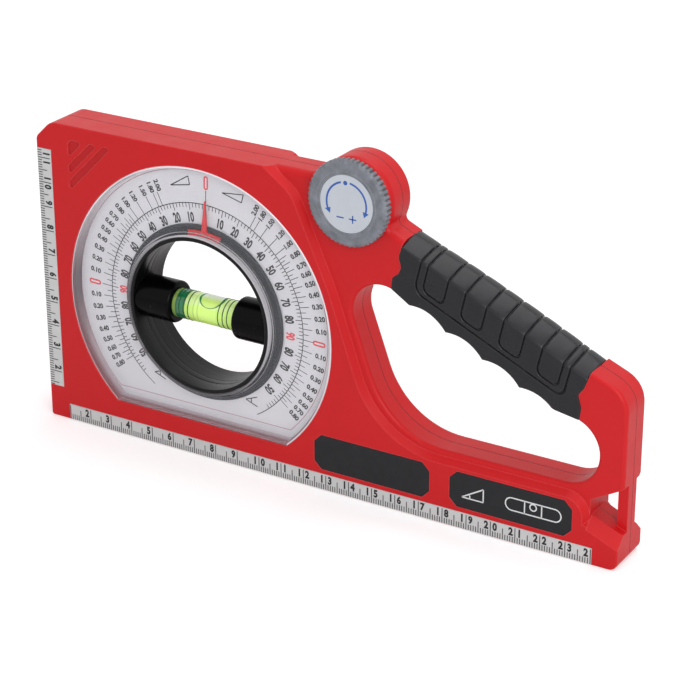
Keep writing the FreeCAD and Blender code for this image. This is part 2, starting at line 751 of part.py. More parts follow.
def badge_plates(y, end_y, extra=0.0):
    plates = []
    for x in (left_x + left_badge_from_left, right_x - right_badge_from_right - badge_length):
        end_x = x + badge_length
        corners = [
            (x + badge_corner, badge_bottom, 0.0), (end_x - badge_corner, badge_bottom, 0.0),
            (end_x, badge_bottom + badge_corner, 0.0), (end_x, badge_top - badge_corner, 0.0),
            (end_x - badge_corner, badge_top, 0.0), (x + badge_corner, badge_top, 0.0),
            (x, badge_top - badge_corner, 0.0), (x, badge_bottom + badge_corner, 0.0),
        ]
        plates.append(slab(inset_corners(corners, -extra), y, end_y))
    return plates


def seam_cutter():
    """A fine groove round the outside where the shells meet."""
    low = seam_y - seam_groove / 2
    high = seam_y + seam_groove / 2
    outer = block(left_x - beyond, right_x + beyond, low, high, -beyond, body_height + 2 * beyond)
    return outer.cut(inside(seam_groove, low, high))


def housing():
    """Front and rear shells."""
    lined = outer_body().cut(hollow())
    lined = lined.fuse(shell_bosses()).cut(shell_cutters())
    lined = lined.cut(grip_room()).cut(seam_cutter()).removeSplitter()
    front_half = block(left_x - beyond, right_x + beyond, front_y - beyond, seam_y, -beyond,
                       body_height + 2 * beyond)
    return lined.common(front_half), lined.cut(front_half)


def grip_halves():
    """Two rubber half shells round the grip bar, scalloped for the fingers."""
    start = grip_start - beyond
    length = grip_end() + beyond - start
    section_front = handle_front_y - grip_proud
    section_rear = handle_rear_y + grip_proud
    dip_radius = ((finger_pitch / 2) ** 2 + finger_dip ** 2) / (2 * finger_dip)
    outline = grip_outline(section_front, section_rear)
    crown = [edge for edge in outline.Edges
             if edge.Length > length / 2 and abs(edge.BoundBox.YLength) < 1e-6
             and edge.CenterOfMass.z > on_grip((grip_start + grip_end()) / 2, grip_depth / 2)[1]]
    grip = outline.makeFillet(grip_round, crown).cut(grip_core())
    for finger in range(finger_cusps):
        near = finger_cusp(finger)
        next_cusp = finger_cusp(finger + 1)
        x = (near[0] + next_cusp[0]) / 2 - along_z * (finger_dip - dip_radius)
        z = (near[1] + next_cusp[1]) / 2 + along_x * (finger_dip - dip_radius)
        grip = grip.cut(rod(x, z, dip_radius, section_front - 1, section_rear + 1))
    front_half = block(left_x, right_x + beyond, section_front - 1, seam_y, 0, body_height + beyond)
    return grip.common(front_half), grip.cut(front_half)


# ---- dial -------------------------------------------------------------------------------
def d_plate(radius, chord_height, y, end_y):
    """A disc round the dial's centre with a flat lower edge."""
    below = block(left_x - beyond, right_x, y, end_y, -beyond, chord_height)
    return rod(dial_x, dial_height, radius, y, end_y).cut(below)


def dial_cover():
    outside = d_plate(cover_radius, cover_chord_height, front_y, dial_y)
    outside = rounded_rims(outside, cover_edge_round, (front_y,))
    room = d_plate(cover_radius - cover_rim, cover_chord_height + cover_rim, front_y + cover_plate, dial_y)
    cover = outside.cut(room)
    collar = rod(dial_x, dial_height, collar_inner + collar_wall, front_y + cover_plate / 2,
                 front_y + collar_depth)
    hole = rod(dial_x, dial_height, collar_inner, front_y - 1, dial_y)
    return cover.fuse(collar).cut(hole).removeSplitter()


def dial_plate():
    plate = d_plate(cover_radius - cover_clearance, cover_chord_height, dial_y, floor_y)
    return plate.cut(rod(dial_x, dial_height, tube_radius + dial_hole_clearance, dial_y - 1, floor_y + 1))


# ---- turning ring and vial --------------------------------------------------------------
def vial_rod(radius, start, end):
    """A rod on the vial's axis, from start to end along X, counted from the ring's centre."""
    return Part.makeCylinder(radius, end - start, spot(dial_x + start, dial_height - vial_drop, vial_axis_y),
                             FreeCAD.Vector(1, 0, 0))


def front_ring():
    flange_y = dial_y - ring_end_play
    ring = tube(dial_x, dial_height, tube_radius, ring_bore, front_y + ring_set_back, gear_y)
    flange = tube(dial_x, dial_height, flange_radius, ring_bore, flange_y - flange_thickness, flange_y)
    spigots = vial_rod(socket_spigot + seat_clearance, -tube_radius - 1, tube_radius + 1)
    return ring.fuse(flange).removeSplitter().cut(spigots)


def rear_ring():
    ring = tube(dial_x, dial_height, tube_radius, ring_bore, gear_y, rear_y - ring_set_back)
    teeth = gear(dial_x, dial_height, ring_teeth, 0.0, gear_y, gear_end_y)
    teeth = teeth.cut(rod(dial_x, dial_height, ring_bore, gear_y - 1, gear_end_y + 1))
    spigots = vial_rod(socket_spigot + seat_clearance, -tube_radius, tube_radius)
    return ring.fuse(teeth).removeSplitter().cut(spigots)


def vial_socket(side):
    """A cup that holds one end of the vial, seated in the ring's bore; side is -1 left, 1 right."""
    face = socket_gap / 2
    cup = vial_rod(socket_radius, face, tube_radius)
    mouth = [edge for edge in cup.Edges if edge.BoundBox.XLength < 1e-6 and edge.BoundBox.XMax < dial_x + face + 1]
    cup = cup.makeFillet(socket_mouth_round, mouth)
    cup = cup.common(rod(dial_x, dial_height, ring_bore - seat_clearance / 2, front_y, rear_y))
    spigot = vial_rod(socket_spigot, ring_bore - 2, tube_radius).common(
        rod(dial_x, dial_height, tube_radius - 3 * seat_clearance, front_y, rear_y))
    cup = cup.fuse(spigot).cut(vial_rod(vial_radius + seat_clearance, face - 1, face + socket_bore_depth))
    if side < 0:
        cup = cup.mirror(spot(dial_x, dial_height), FreeCAD.Vector(1, 0, 0))
    return cup.removeSplitter()


def vial_tube():
    """A clear rod drilled from its left end."""
    body = vial_rod(vial_radius, -vial_half_length, vial_half_length)
    return body.cut(vial_rod(vial_bore, -vial_half_length, vial_half_length - vial_end_wall))


def vial_plug():
    return vial_rod(vial_bore, -vial_half_length, -vial_half_length + vial_plug_length)


def vial_liquid():
    """The filling, with the bubble as a flattened hollow against the top of the bore."""
    filling = vial_rod(vial_bore, -vial_half_length + vial_plug_length, vial_half_length - vial_end_wall)
    bubble = Part.makeSphere(1.0)
    stretch = FreeCAD.Matrix()
    stretch.scale(bubble_length / 2, bubble_depth, bubble_depth)
    bubble = bubble.transformGeometry(stretch)
    bubble.translate(spot(dial_x + bubble_shift, dial_height - vial_drop + vial_bore, vial_axis_y))
    return filling.cut(bubble)


def vial_lines():
    """Printed rings round the vial, in pairs either side of its middle."""
    rings = []
    for place in line_places:
        for side in (-1, 1):
            start = side * place - line_width / 2
            ring = vial_rod(vial_radius + line_sheet, start, start + line_width)
            rings.append(ring.cut(vial_rod(vial_radius, start - 1, start + line_width + 1)))
    return Part.makeCompound(rings)


def pointer():
    """A needle on an arc-shaped foot, fixed to the ring's flange."""
    end_y = dial_y - ring_end_play - flange_thickness
    y = end_y - pointer_sheet
    foot = tube(dial_x, dial_height, pointer_base_outer, pointer_base_inner, y, end_y)
    half = math.radians(pointer_base_span / 2)
    reach = 2 * pointer_base_outer
    wedge = slab([(dial_x, dial_height, 0.0),
                  (dial_x + reach * math.sin(half), dial_height + reach * math.cos(half), 0.0),
                  (dial_x - reach * math.sin(half), dial_height + reach * math.cos(half), 0.0)], y, end_y)
    foot = foot.common(wedge)
    middle = (pointer_base_inner + pointer_base_outer) / 2
    needle = slab([(dial_x - pointer_width / 2, dial_height + middle, 0.0),
                   (dial_x + pointer_width / 2, dial_height + middle, 0.0),
                   (dial_x, dial_height + pointer_tip, pointer_tip_round)], y, end_y)
    hand = foot.fuse(needle).removeSplitter()
    hand.rotate(spot(dial_x, dial_height), FreeCAD.Vector(0, 1, 0), pointer_lean)
    return hand


# ---- gear train pieces ------------------------------------------------------------------
def idler_gear():
    wheel = gear(idler_x, idler_z, idler_teeth, idler_turn, gear_y, gear_end_y)
    return wheel.cut(rod(idler_x, idler_z, idler_pin_radius + journal_gap, gear_y - 1, gear_end_y + 1))


def idler_pin():
    return rod(idler_x, idler_z, idler_pin_radius, web_y - idler_pin_seat, rear_y - wall)


def knob_back_y():
    return handle_front_y - knob_gap


def knob_seat_y():
    """Front end of the spindle inside the knob."""
    return knob_front_y + label_set_in + label_sheet + knob_screw_head_height + knob_web


def drive_pinion():
    """The spindle with the small gear cut on it, flattened in front where it drives the knob."""
    wheel = gear(knob_x, knob_z, pinion_teeth, pinion_turn, gear_y, gear_end_y)
    spindle = rod(knob_x, knob_z, spindle_radius, knob_seat_y(), gear_y)
    flat = block(knob_x - beyond, knob_x + beyond, knob_seat_y() - 1, gear_y, knob_z + spindle_flat,
                 knob_z + beyond)
    journal = rod(knob_x, knob_z, rear_journal_radius, gear_end_y, journal_end_y() - idler_washer)
    whole = fused([wheel, spindle.cut(flat), journal])
    return whole.cut(rod(knob_x, knob_z, knob_screw_radius, knob_seat_y(), knob_seat_y() + knob_screw_length))


def knob():
    """A ridged disc with a sunk face for its label and a hub that turns in the front shell."""
    back_y = knob_back_y()
    points = []
    for ridge in range(knob_ridges):
        for place, depth in knob_ridge_profile:
            angle = 2 * math.pi * (ridge + place) / knob_ridges
            radius = knob_radius - depth * knob_ridge_depth
            points.append((knob_x + radius * math.cos(angle), knob_z + radius * math.sin(angle)))
    points.append(points[0])
    disc = Part.Face(joined(points, knob_front_y)).extrude(spot(0, 0, back_y - knob_front_y))
    round_face = rod(knob_x, knob_z, knob_radius + 1, knob_front_y, back_y)
    bevel = [edge for edge in round_face.Edges if abs(edge.BoundBox.YMax - knob_front_y) < 1e-6]
    disc = disc.common(round_face.makeChamfer(knob_edge + 1, bevel))
    hub = rod(knob_x, knob_z, knob_hub_radius, back_y, gear_y - 2 * idler_washer)
    sink = rod(knob_x, knob_z, label_radius + label_clearance, knob_front_y - 1,
               knob_front_y + label_set_in + label_sheet)
    head_room = rod(knob_x, knob_z, knob_screw_head + screw_clearance, knob_front_y, knob_seat_y() - knob_web)
    screw_hole = rod(knob_x, knob_z, knob_screw_radius + screw_clearance, knob_front_y, knob_seat_y())
    socket = rod(knob_x, knob_z, spindle_radius, knob_seat_y(), gear_y).cut(
        block(knob_x - beyond, knob_x + beyond, knob_front_y, gear_y, knob_z + spindle_flat, knob_z + beyond))
    return disc.fuse(hub).cut([sink, head_room, screw_hole, socket]).removeSplitter()


def knob_label():
    start = knob_front_y + label_set_in
    return rod(knob_x, knob_z, label_radius, start, start + label_sheet)


def knob_screw():
    head_end = knob_seat_y() - knob_web
    head = rod(knob_x, knob_z, knob_screw_head, head_end - knob_screw_head_height, head_end)
    shank = rod(knob_x, knob_z, knob_screw_radius, head_end, knob_seat_y() + knob_screw_length)
    slot = block(knob_x - beyond, knob_x + beyond, head_end - knob_screw_head_height - 1,
                 head_end - knob_screw_head_height / 2, knob_z - knob_screw_slot / 2,
                 knob_z + knob_screw_slot / 2)
    return head.fuse(shank).cut(slot).removeSplitter()


def friction_ring():
    """A felt ring between the knob and its boss, which holds the setting."""
    return tube(knob_x, knob_z, friction_outer, friction_inner, knob_back_y() + journal_gap,
                handle_front_y + friction_groove)


# ---- fasteners --------------------------------------------------------------------------
def housing_screws():
    screws = []
    for x, z in screw_places():
        seat = rear_face(x, z) - screw_sink
        head = rod(x, z, screw_head_radius, seat, seat + screw_head_height)
        dome = [edge for edge in head.Edges if abs(edge.BoundBox.YMin - seat - screw_head_height) < 1e-6]
        head = head.makeFillet(screw_head_round, dome)
        shank = rod(x, z, screw_radius, seat - screw_length, seat)
        slot_y = seat + screw_head_height / 2
        reach = screw_slot_reach
        half = screw_slot_width / 2
        cross = fused([
            block(x - reach, x + reach, slot_y, seat + beyond, z - half, z + half),
            block(x - half, x + half, slot_y, seat + beyond, z - reach, z + reach),
        ])
        screws.append(head.fuse(shank).cut(cross).removeSplitter())
    return Part.makeCompound(screws)


os.makedirs("parts", exist_ok=True)
front_housing, rear_housing = housing()
front_grip, rear_grip = grip_halves()
base_ruler, end_ruler = ruler_plates(front_y + ruler_recess - ruler_sheet, front_y + ruler_recess)
left_badge, right_badge = badge_plates(front_y, front_y + badge_sheet)
export("front_housing", front_housing)
export("rear_housing", rear_housing)
export("housing_screws", housing_screws())
export("front_grip", front_grip)
export("rear_grip", rear_grip)
export("dial_plate", dial_plate())
export("dial_cover", dial_cover())
export("front_ring", front_ring())
export("rear_ring", rear_ring())
export("pointer", pointer())
export("vial_socket_left", vial_socket(-1))
export("vial_socket_right", vial_socket(1))
export("vial_tube", vial_tube())
export("vial_plug", vial_plug())
export("vial_liquid", vial_liquid())
export("vial_lines", vial_lines())
export("idler_gear", idler_gear())
export("idler_pin", idler_pin())
export("drive_pinion", drive_pinion())
export("knob", knob())
export("knob_label", knob_label())
export("knob_screw", knob_screw())
export("friction_ring", friction_ring())
export("magnets", Part.makeCompound(magnet_boxes()))
export("base_ruler", base_ruler)
export("end_ruler", end_ruler)
export("badge_left", left_badge)
export("badge_right", right_badge)
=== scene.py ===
import json
import math

import bmesh
import bpy
import numpy as np
from mathutils import Matrix, Vector


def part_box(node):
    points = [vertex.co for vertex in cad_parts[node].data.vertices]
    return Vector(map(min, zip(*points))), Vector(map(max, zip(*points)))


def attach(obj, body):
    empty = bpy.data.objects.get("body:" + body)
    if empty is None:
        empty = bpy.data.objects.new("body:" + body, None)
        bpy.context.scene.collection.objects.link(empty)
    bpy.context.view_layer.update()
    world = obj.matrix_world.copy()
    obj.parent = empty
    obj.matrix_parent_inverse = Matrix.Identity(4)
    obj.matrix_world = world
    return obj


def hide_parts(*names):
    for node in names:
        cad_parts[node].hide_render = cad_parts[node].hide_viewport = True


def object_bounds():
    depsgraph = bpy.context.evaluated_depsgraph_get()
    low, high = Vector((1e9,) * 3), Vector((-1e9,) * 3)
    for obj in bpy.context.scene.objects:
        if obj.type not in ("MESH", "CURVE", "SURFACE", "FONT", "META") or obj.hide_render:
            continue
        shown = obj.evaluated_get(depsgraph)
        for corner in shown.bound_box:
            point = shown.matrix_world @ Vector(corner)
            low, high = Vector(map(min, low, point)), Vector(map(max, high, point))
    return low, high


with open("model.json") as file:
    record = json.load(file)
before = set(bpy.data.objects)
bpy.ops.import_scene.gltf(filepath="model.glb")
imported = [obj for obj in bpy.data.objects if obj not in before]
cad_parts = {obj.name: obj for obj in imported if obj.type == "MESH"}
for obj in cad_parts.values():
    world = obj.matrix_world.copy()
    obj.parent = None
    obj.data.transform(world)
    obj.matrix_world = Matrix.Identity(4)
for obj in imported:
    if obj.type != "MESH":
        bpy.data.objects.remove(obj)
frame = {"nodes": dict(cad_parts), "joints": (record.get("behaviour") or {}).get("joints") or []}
cad_low, cad_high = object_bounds()

mm = 0.001

# ---- places taken from the frame ----------------------------------------------------------
joint_places = {joint["name"]: joint["pos_m"] for joint in frame["joints"]}
dial_x, dial_z = joint_places["ring_turn"][0], joint_places["ring_turn"][2]
knob_x, knob_z = joint_places["knob_turn"][0], joint_places["knob_turn"][2]
right_x = cad_high.x
left_x = cad_low.x
front_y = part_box("front_housing")[0].y
dial_face_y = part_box("dial_plate")[0].y
cover_back_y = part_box("dial_cover")[1].y
seam_y = 0.6 * mm            # where the shells and the grip's halves meet
vial_low, vial_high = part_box("vial_tube")
vial_y = (vial_low.y + vial_high.y) / 2
vial_z = (vial_low.z + vial_high.z) / 2
vial_radius = 5.75 * mm
vial_bore = 4.25 * mm

# ---- camera -------------------------------------------------------------------------------
camera_place = Vector((0.41573, -0.67432, 0.41098))
camera_right = Vector((0.85480, 0.51894, -0.00315))
camera_ahead = Vector((-0.47497, 0.77990, -0.40764))
camera_lens = 123.56         # millimetres, on a sensor 36 mm wide


# ---- meshes -------------------------------------------------------------------------------
def new_object(name, data):
    """An object with that mesh, lamp or lens, linked into the scene."""
    made = bpy.data.objects.new(name, data)
    bpy.context.scene.collection.objects.link(made)
    return made


def read_rows(items, title, width=3, kind=float):
    """One value of every item of a mesh, as rows of that width."""
    values = np.empty(len(items) * width, kind)
    items.foreach_get(title, values)
    return values.reshape(-1, width)


def grid_faces(rows, columns, close_rows=False, close_columns=False):
    """Quads that join each grid point to its neighbours in the next row and the next column."""
    index = np.arange(rows * columns).reshape(rows, columns)
    if close_rows:
        index = np.vstack([index, index[:1]])
    if close_columns:
        index = np.hstack([index, index[:, :1]])
    corners = [index[:-1, :-1], index[:-1, 1:], index[1:, 1:], index[1:, :-1]]
    return np.stack(corners, axis=-1).reshape(-1, 4)


def make_piece(name, points, faces, body, material, smooth=True, closed=True):
    """A mesh from point rows and face rows. A closed one is welded and its faces are turned outwards."""
    mesh = bpy.data.meshes.new(name)
    points = np.asarray(points, float).reshape(-1, 3)
    faces = np.asarray(faces, int)
    mesh.vertices.add(len(points))
    mesh.vertices.foreach_set("co", points.ravel())
    mesh.loops.add(faces.size)
    mesh.loops.foreach_set("vertex_index", faces.ravel())
    mesh.polygons.add(len(faces))
    mesh.polygons.foreach_set("loop_start", np.arange(0, faces.size, faces.shape[1]))
    mesh.polygons.foreach_set("use_smooth", np.full(len(faces), smooth))
    mesh.update(calc_edges=True)
    if closed:
        work = bmesh.new()
        work.from_mesh(mesh)
        bmesh.ops.remove_doubles(work, verts=work.verts, dist=1e-7)
        bmesh.ops.recalc_face_normals(work, faces=work.faces)
        work.to_mesh(mesh)
        work.free()
    mesh.validate()
    piece = new_object(name, mesh)
    mesh.materials.append(material)
    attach(piece, body)
    return piece


def rounded_profile(corners, radius, steps=5):
    """The closed outline with each corner replaced by an even arc of that radius, tangent to both sides."""
    corners = np.asarray(corners, float)
    back = np.roll(corners, 1, axis=0) - corners
    ahead = np.roll(corners, -1, axis=0) - corners
    back_length = np.linalg.norm(back, axis=1, keepdims=True)
    ahead_length = np.linalg.norm(ahead, axis=1, keepdims=True)
    back = back / back_length
    ahead = ahead / ahead_length
    half = np.arccos(np.clip((back * ahead).sum(1, keepdims=True), -1, 1)) / 2
    radius = np.minimum(radius, 0.45 * np.minimum(back_length, ahead_length) * np.tan(half))
    bisector = back + ahead
    bisector = bisector / np.maximum(np.linalg.norm(bisector, axis=1, keepdims=True), 1e-12)
    centre = corners + bisector * radius / np.sin(half)
    first = corners + back * radius / np.tan(half) - centre
    last = corners + ahead * radius / np.tan(half) - centre
    share = np.linspace(0, 1, steps)[None, :, None]
    span = (math.pi - 2 * half)[:, :, None]
    sweep = np.sin((1 - share) * span) * first[:, None, :] + np.sin(share * span) * last[:, None, :]
    return (centre[:, None, :] + sweep / np.sin(span)).reshape(-1, 2)


def turned(name, profile, centre, along, steps, body, material, ripple=None):
    """A profile of (radius, place) swept once round an axis: centre + place along it + radius round it.

    ripple(angles, radii, places) may give a change of radius for every point of the grid.
    """
    profile = np.asarray(profile, float)
    angles = np.linspace(0, 2 * math.pi, steps, endpoint=False)
    radii = np.repeat(profile[:, :1], steps, axis=1)
    places = np.repeat(profile[:, 1:], steps, axis=1)
    if ripple is not None:
        radii = radii + ripple(angles[None, :], radii, places)
    across = np.roll(np.asarray(along, float), 1)
    other = np.cross(along, across)
    points = (np.asarray(centre, float) + places[..., None] * np.asarray(along, float)
              + radii[..., None] * (np.cos(angles)[None, :, None] * across
                                    + np.sin(angles)[None, :, None] * other))
    faces = grid_faces(len(profile), steps, close_rows=True, close_columns=True)
    return make_piece(name, points, faces, body, material)


def bars(starts, ends, width):
    """One flat rectangle per start and end, reaching half the width either side of that line."""
    starts = np.asarray(starts, float).reshape(-1, 2)
    ends = np.asarray(ends, float).reshape(-1, 2)
    run = ends - starts
    run = run / np.linalg.norm(run, axis=1, keepdims=True)
    side = np.stack([-run[:, 1], run[:, 0]], axis=1) * np.asarray(width, float).reshape(-1, 1) / 2
    return np.stack([starts - side, ends - side, ends + side, starts + side], axis=1)


def strokes(points, width):
    """A row of points joined by bars."""
    return bars(points[:-1], points[1:], width)


def ray(angle):
    """The direction (x, z) at an angle in radians, clockwise from the top."""
    return np.stack([np.sin(angle), np.cos(angle)], axis=-1)


def arc_bars(radius, width, start, end, steps, centre):
    """An arc drawn as short flat quads between two radii. Angles are in radians, clockwise from the top."""
    rays = ray(np.linspace(start, end, steps + 1))
    inner = np.asarray(centre) + (radius - width / 2) * rays
    outer = np.asarray(centre) + (radius + width / 2) * rays
    return np.stack([inner[1:], outer[1:], outer[:-1], inner[:-1]], axis=1)


def facing_front(shapes):
    """Flat polygons (x, z) wound so that they face the front, which is towards -Y."""
    after = np.roll(shapes, -1, axis=1)
    area = (shapes[..., 0] * after[..., 1] - after[..., 0] * shapes[..., 1]).sum(axis=1)
    return np.where((area < 0)[:, None, None], shapes[:, ::-1], shapes)


def print_on(name, shapes, y, body, material):
    """Ink: flat polygons (x, z) that lie just in front of the plane y."""
    shapes = facing_front(np.asarray(shapes, float))
    count, corners = shapes.shape[:2]
    points = np.stack([shapes[..., 0], np.full((count, corners), y), shapes[..., 1]], axis=-1)
    faces = np.arange(count * corners).reshape(count, corners)
    make_piece(name, points, faces, body, material, smooth=False, closed=False)


glyph_store = {}


def glyphs(words, weight):
    """Triangles of a line of text one unit high, centred on its own middle."""
    if (words, weight) not in glyph_store:
        curve = bpy.data.curves.new("figures", "FONT")
        curve.body = words
        curve.resolution_u = 3
        curve.offset = weight
        holder = bpy.data.objects.new("figures", curve)
        mesh = bpy.data.meshes.new_from_object(holder)
        mesh.calc_loop_triangles()
        points = read_rows(mesh.vertices, "co")[:, :2]
        low, high = points.min(axis=0), points.max(axis=0)
        points = (points - (low + high) / 2) / (high[1] - low[1])
        glyph_store[(words, weight)] = points[read_rows(mesh.loop_triangles, "vertices", 3, int)]
        bpy.data.objects.remove(holder)
        bpy.data.meshes.remove(mesh)
        bpy.data.curves.remove(curve)
    return glyph_store[(words, weight)]


def spun(points, turn, centre):
    """Points (x, z) turned clockwise by turn radians about zero, then moved to a centre."""
    spin = np.array([[math.cos(turn), -math.sin(turn)], [math.sin(turn), math.cos(turn)]])
    return points @ spin + np.asarray(centre)


def label(words, place, height, squeeze, turn=0.0, weight=0.0):
    """Text triangles at a place (x, z): squeezed sideways, then turned clockwise by turn radians."""
    return spun(glyphs(words, weight) * np.array([height * squeeze, height]), turn, place)


# ---- shader groups ------------------------------------------------------------------------
def new_group(name, inputs, outputs):
    """A shader group with number and colour sockets, and its input and output nodes."""
    group = bpy.data.node_groups.new(name, "ShaderNodeTree")
    for title, kind, value in inputs:
        made = group.interface.new_socket(name=title, in_out="INPUT", socket_type=kind)
        made.default_value = value
    for title, kind in outputs:
        group.interface.new_socket(name=title, in_out="OUTPUT", socket_type=kind)
    return group, group.nodes.new("NodeGroupInput"), group.nodes.new("NodeGroupOutput")


def noise(tree, vector, scale, detail, roughness=0.5):
    """Clouds between 0 and 1."""
    node = tree.nodes.new("ShaderNodeTexNoise")
    node.inputs["Detail"].default_value = detail
    node.inputs["Roughness"].default_value = roughness
    tree.links.new(vector, node.inputs["Vector"])
    feed(tree, node.inputs["Scale"], scale)
    return node.outputs["Fac"]


def feed(tree, socket, value):
    """Sets a socket to a number or a colour, or links another node's output to it."""
    if isinstance(value, (int, float, tuple)):
        socket.default_value = value
    else:
        tree.links.new(value, socket)


def maths(tree, operation, *values):
    """One step of arithmetic on numbers or sockets."""
    node = tree.nodes.new("ShaderNodeMath")
    node.operation = operation
    for socket, value in zip(node.inputs, values):
        feed(tree, socket, value)
    return node.outputs["Value"]


def blended(tree, share, first, second):
    """A colour mixed from the first to the second."""
    node = tree.nodes.new("ShaderNodeMix")
    node.data_type = "RGBA"
    for title, value in (("Factor", share), ("A", first), ("B", second)):
        feed(tree, node.inputs[title], value)
    return node.outputs["Result"]


def held(tree, value):
    """A value held between 0 and 1."""
    return maths(tree, "MINIMUM", maths(tree, "MAXIMUM", value, 0.0), 1.0)


def object_place(tree):
    """Where a point lies in its piece, in metres."""
    return tree.nodes.new("ShaderNodeTexCoord").outputs["Object"]


def axes_of(tree, vector):
    """The X, Y and Z outputs of a vector."""
    split = tree.nodes.new("ShaderNodeSeparateXYZ")
    tree.links.new(vector, split.inputs["Vector"])
    return split.outputs


def surface_group():
    """Moulded or printed surface: slow clouds shift colour and gloss, and a fine grain gives a height."""
    inputs = [("Colour", "NodeSocketColor", (0.5, 0.5, 0.5, 1)),
              ("Cloud Colour", "NodeSocketColor", (0.5, 0.5, 0.5, 1)),
              ("Cloud Scale", "NodeSocketFloat", 60.0), ("Cloud Share", "NodeSocketFloat", 0.3),
              ("Roughness", "NodeSocketFloat", 0.4), ("Roughness Spread", "NodeSocketFloat", 0.1),
              ("Grain Scale", "NodeSocketFloat", 2500.0)]
    outputs = [("Colour", "NodeSocketColor"), ("Roughness", "NodeSocketFloat"), ("Height", "NodeSocketFloat")]
    group, given, result = new_group("surface_finish", inputs, outputs)
    place = object_place(group)
    clouds = noise(group, place, given.outputs["Cloud Scale"], 4.0, 0.6)
    contrast = maths(group, "MULTIPLY_ADD", clouds, 2.4, -0.7)
    share = maths(group, "MULTIPLY", maths(group, "MAXIMUM", contrast, 0.0), given.outputs["Cloud Share"])
    colour = blended(group, share, given.outputs["Colour"], given.outputs["Cloud Colour"])
    patches = noise(group, place, maths(group, "MULTIPLY", given.outputs["Cloud Scale"], 3.1), 3.0)
    shift = maths(group, "MULTIPLY", maths(group, "SUBTRACT", patches, 0.5),
                  given.outputs["Roughness Spread"])
    rough = maths(group, "ADD", given.outputs["Roughness"], maths(group, "MULTIPLY", shift, 2.0))
    grain = noise(group, place, given.outputs["Grain Scale"], 2.0)
    group.links.new(colour, result.inputs["Colour"])
    group.links.new(rough, result.inputs["Roughness"])
    group.links.new(grain, result.inputs["Height"])
    return group


def edge_group():
    """Where the painted edge highlight goes: 1 where the rounded normal leaves the face's own, broken up by
    noise.
    """
    group, given, result = new_group("edge_mask", [("Reach", "NodeSocketFloat", 0.0006)],
                                     [("Mask", "NodeSocketFloat")])
    bevel = group.nodes.new("ShaderNodeBevel")
    bevel.samples = 4
    group.links.new(given.outputs["Reach"], bevel.inputs["Radius"])
    plain = group.nodes.new("ShaderNodeNewGeometry").outputs["Normal"]
    dot = group.nodes.new("ShaderNodeVectorMath")
    dot.operation = "DOT_PRODUCT"
    group.links.new(bevel.outputs["Normal"], dot.inputs[0])
    group.links.new(plain, dot.inputs[1])
    turn = maths(group, "SUBTRACT", 1.0, dot.outputs["Value"])
    place = object_place(group)
    broken = noise(group, place, 420.0, 3.0)
    mask = maths(group, "MULTIPLY", maths(group, "MULTIPLY", turn, 5.0), broken)
    clamp = group.nodes.new("ShaderNodeClamp")
    group.links.new(mask, clamp.inputs["Value"])
    group.links.new(clamp.outputs["Result"], result.inputs["Mask"])
    return group


surface_finish = surface_group()
edge_mask = edge_group()


# ---- materials ----------------------------------------------------------------------------
def srgb(red, green, blue):
    """A colour given in 0 to 255 steps as shown on screen, as linear light."""
    shown = np.array([red, green, blue]) / 255
    linear = np.where(shown <= 0.04045, shown / 12.92, ((shown + 0.055) / 1.055) ** 2.4)
    return (*(float(value) for value in linear), 1.0)


def new_material(name):
    """An empty material with its Principled shader joined to the output."""
    material = bpy.data.materials.new(name)
    material.use_nodes = True
    tree = material.node_tree
    shader = tree.nodes["Principled BSDF"]
    return material, tree, shader


def finish(tree, shader, colour, cloud, scale, share, roughness, spread, grain, depth, soften=None):
    """Feeds the shader from the surface group, with bump and, if asked, softened sharp edges.

    The scale of the clouds and of the grain counts per metre, and the grain's depth is in metres.
    """
    node = tree.nodes.new("ShaderNodeGroup")
    node.node_tree = surface_finish
    for title, value in (("Colour", colour), ("Cloud Colour", cloud), ("Cloud Scale", scale),
                         ("Cloud Share", share), ("Roughness", roughness), ("Roughness Spread", spread),
                         ("Grain Scale", grain)):
        node.inputs[title].default_value = value
    tree.links.new(node.outputs["Roughness"], shader.inputs["Roughness"])
    bump = tree.nodes.new("ShaderNodeBump")
    bump.inputs["Strength"].default_value = 1.0
    bump.inputs["Distance"].default_value = depth
    tree.links.new(node.outputs["Height"], bump.inputs["Height"])
    if soften is not None:
        bevel = tree.nodes.new("ShaderNodeBevel")
        bevel.samples = 6
        bevel.inputs["Radius"].default_value = soften
        tree.links.new(bevel.outputs["Normal"], bump.inputs["Normal"])
    tree.links.new(bump.outputs["Normal"], shader.inputs["Normal"])
    return node.outputs["Colour"]


def plastic(name, colour, cloud, scale=60.0, share=0.3, roughness=0.35, spread=0.06, grain=2500.0,
            depth=2e-6, soften=0.25 * mm, ior=1.45, edge_highlight=None):
    """Moulded plastic or rubber, with a painted highlight colour along its edges."""
    material, tree, shader = new_material(name)
    shown = finish(tree, shader, colour, cloud, scale, share, roughness, spread, grain, depth, soften)
    if edge_highlight is not None:
        edges = tree.nodes.new("ShaderNodeGroup")
        edges.node_tree = edge_mask
        shown = blended(tree, edges.outputs["Mask"], shown, edge_highlight)
    tree.links.new(shown, shader.inputs["Base Color"])
    shader.inputs["IOR"].default_value = ior
    return material


def coloured_over(material, share, colour):
    """Blends a colour over the base colour, by a share that comes from a node."""
    tree = material.node_tree
    base = tree.nodes["Principled BSDF"].inputs["Base Color"]
    tree.links.new(blended(tree, share, base.links[0].from_socket, colour), base)


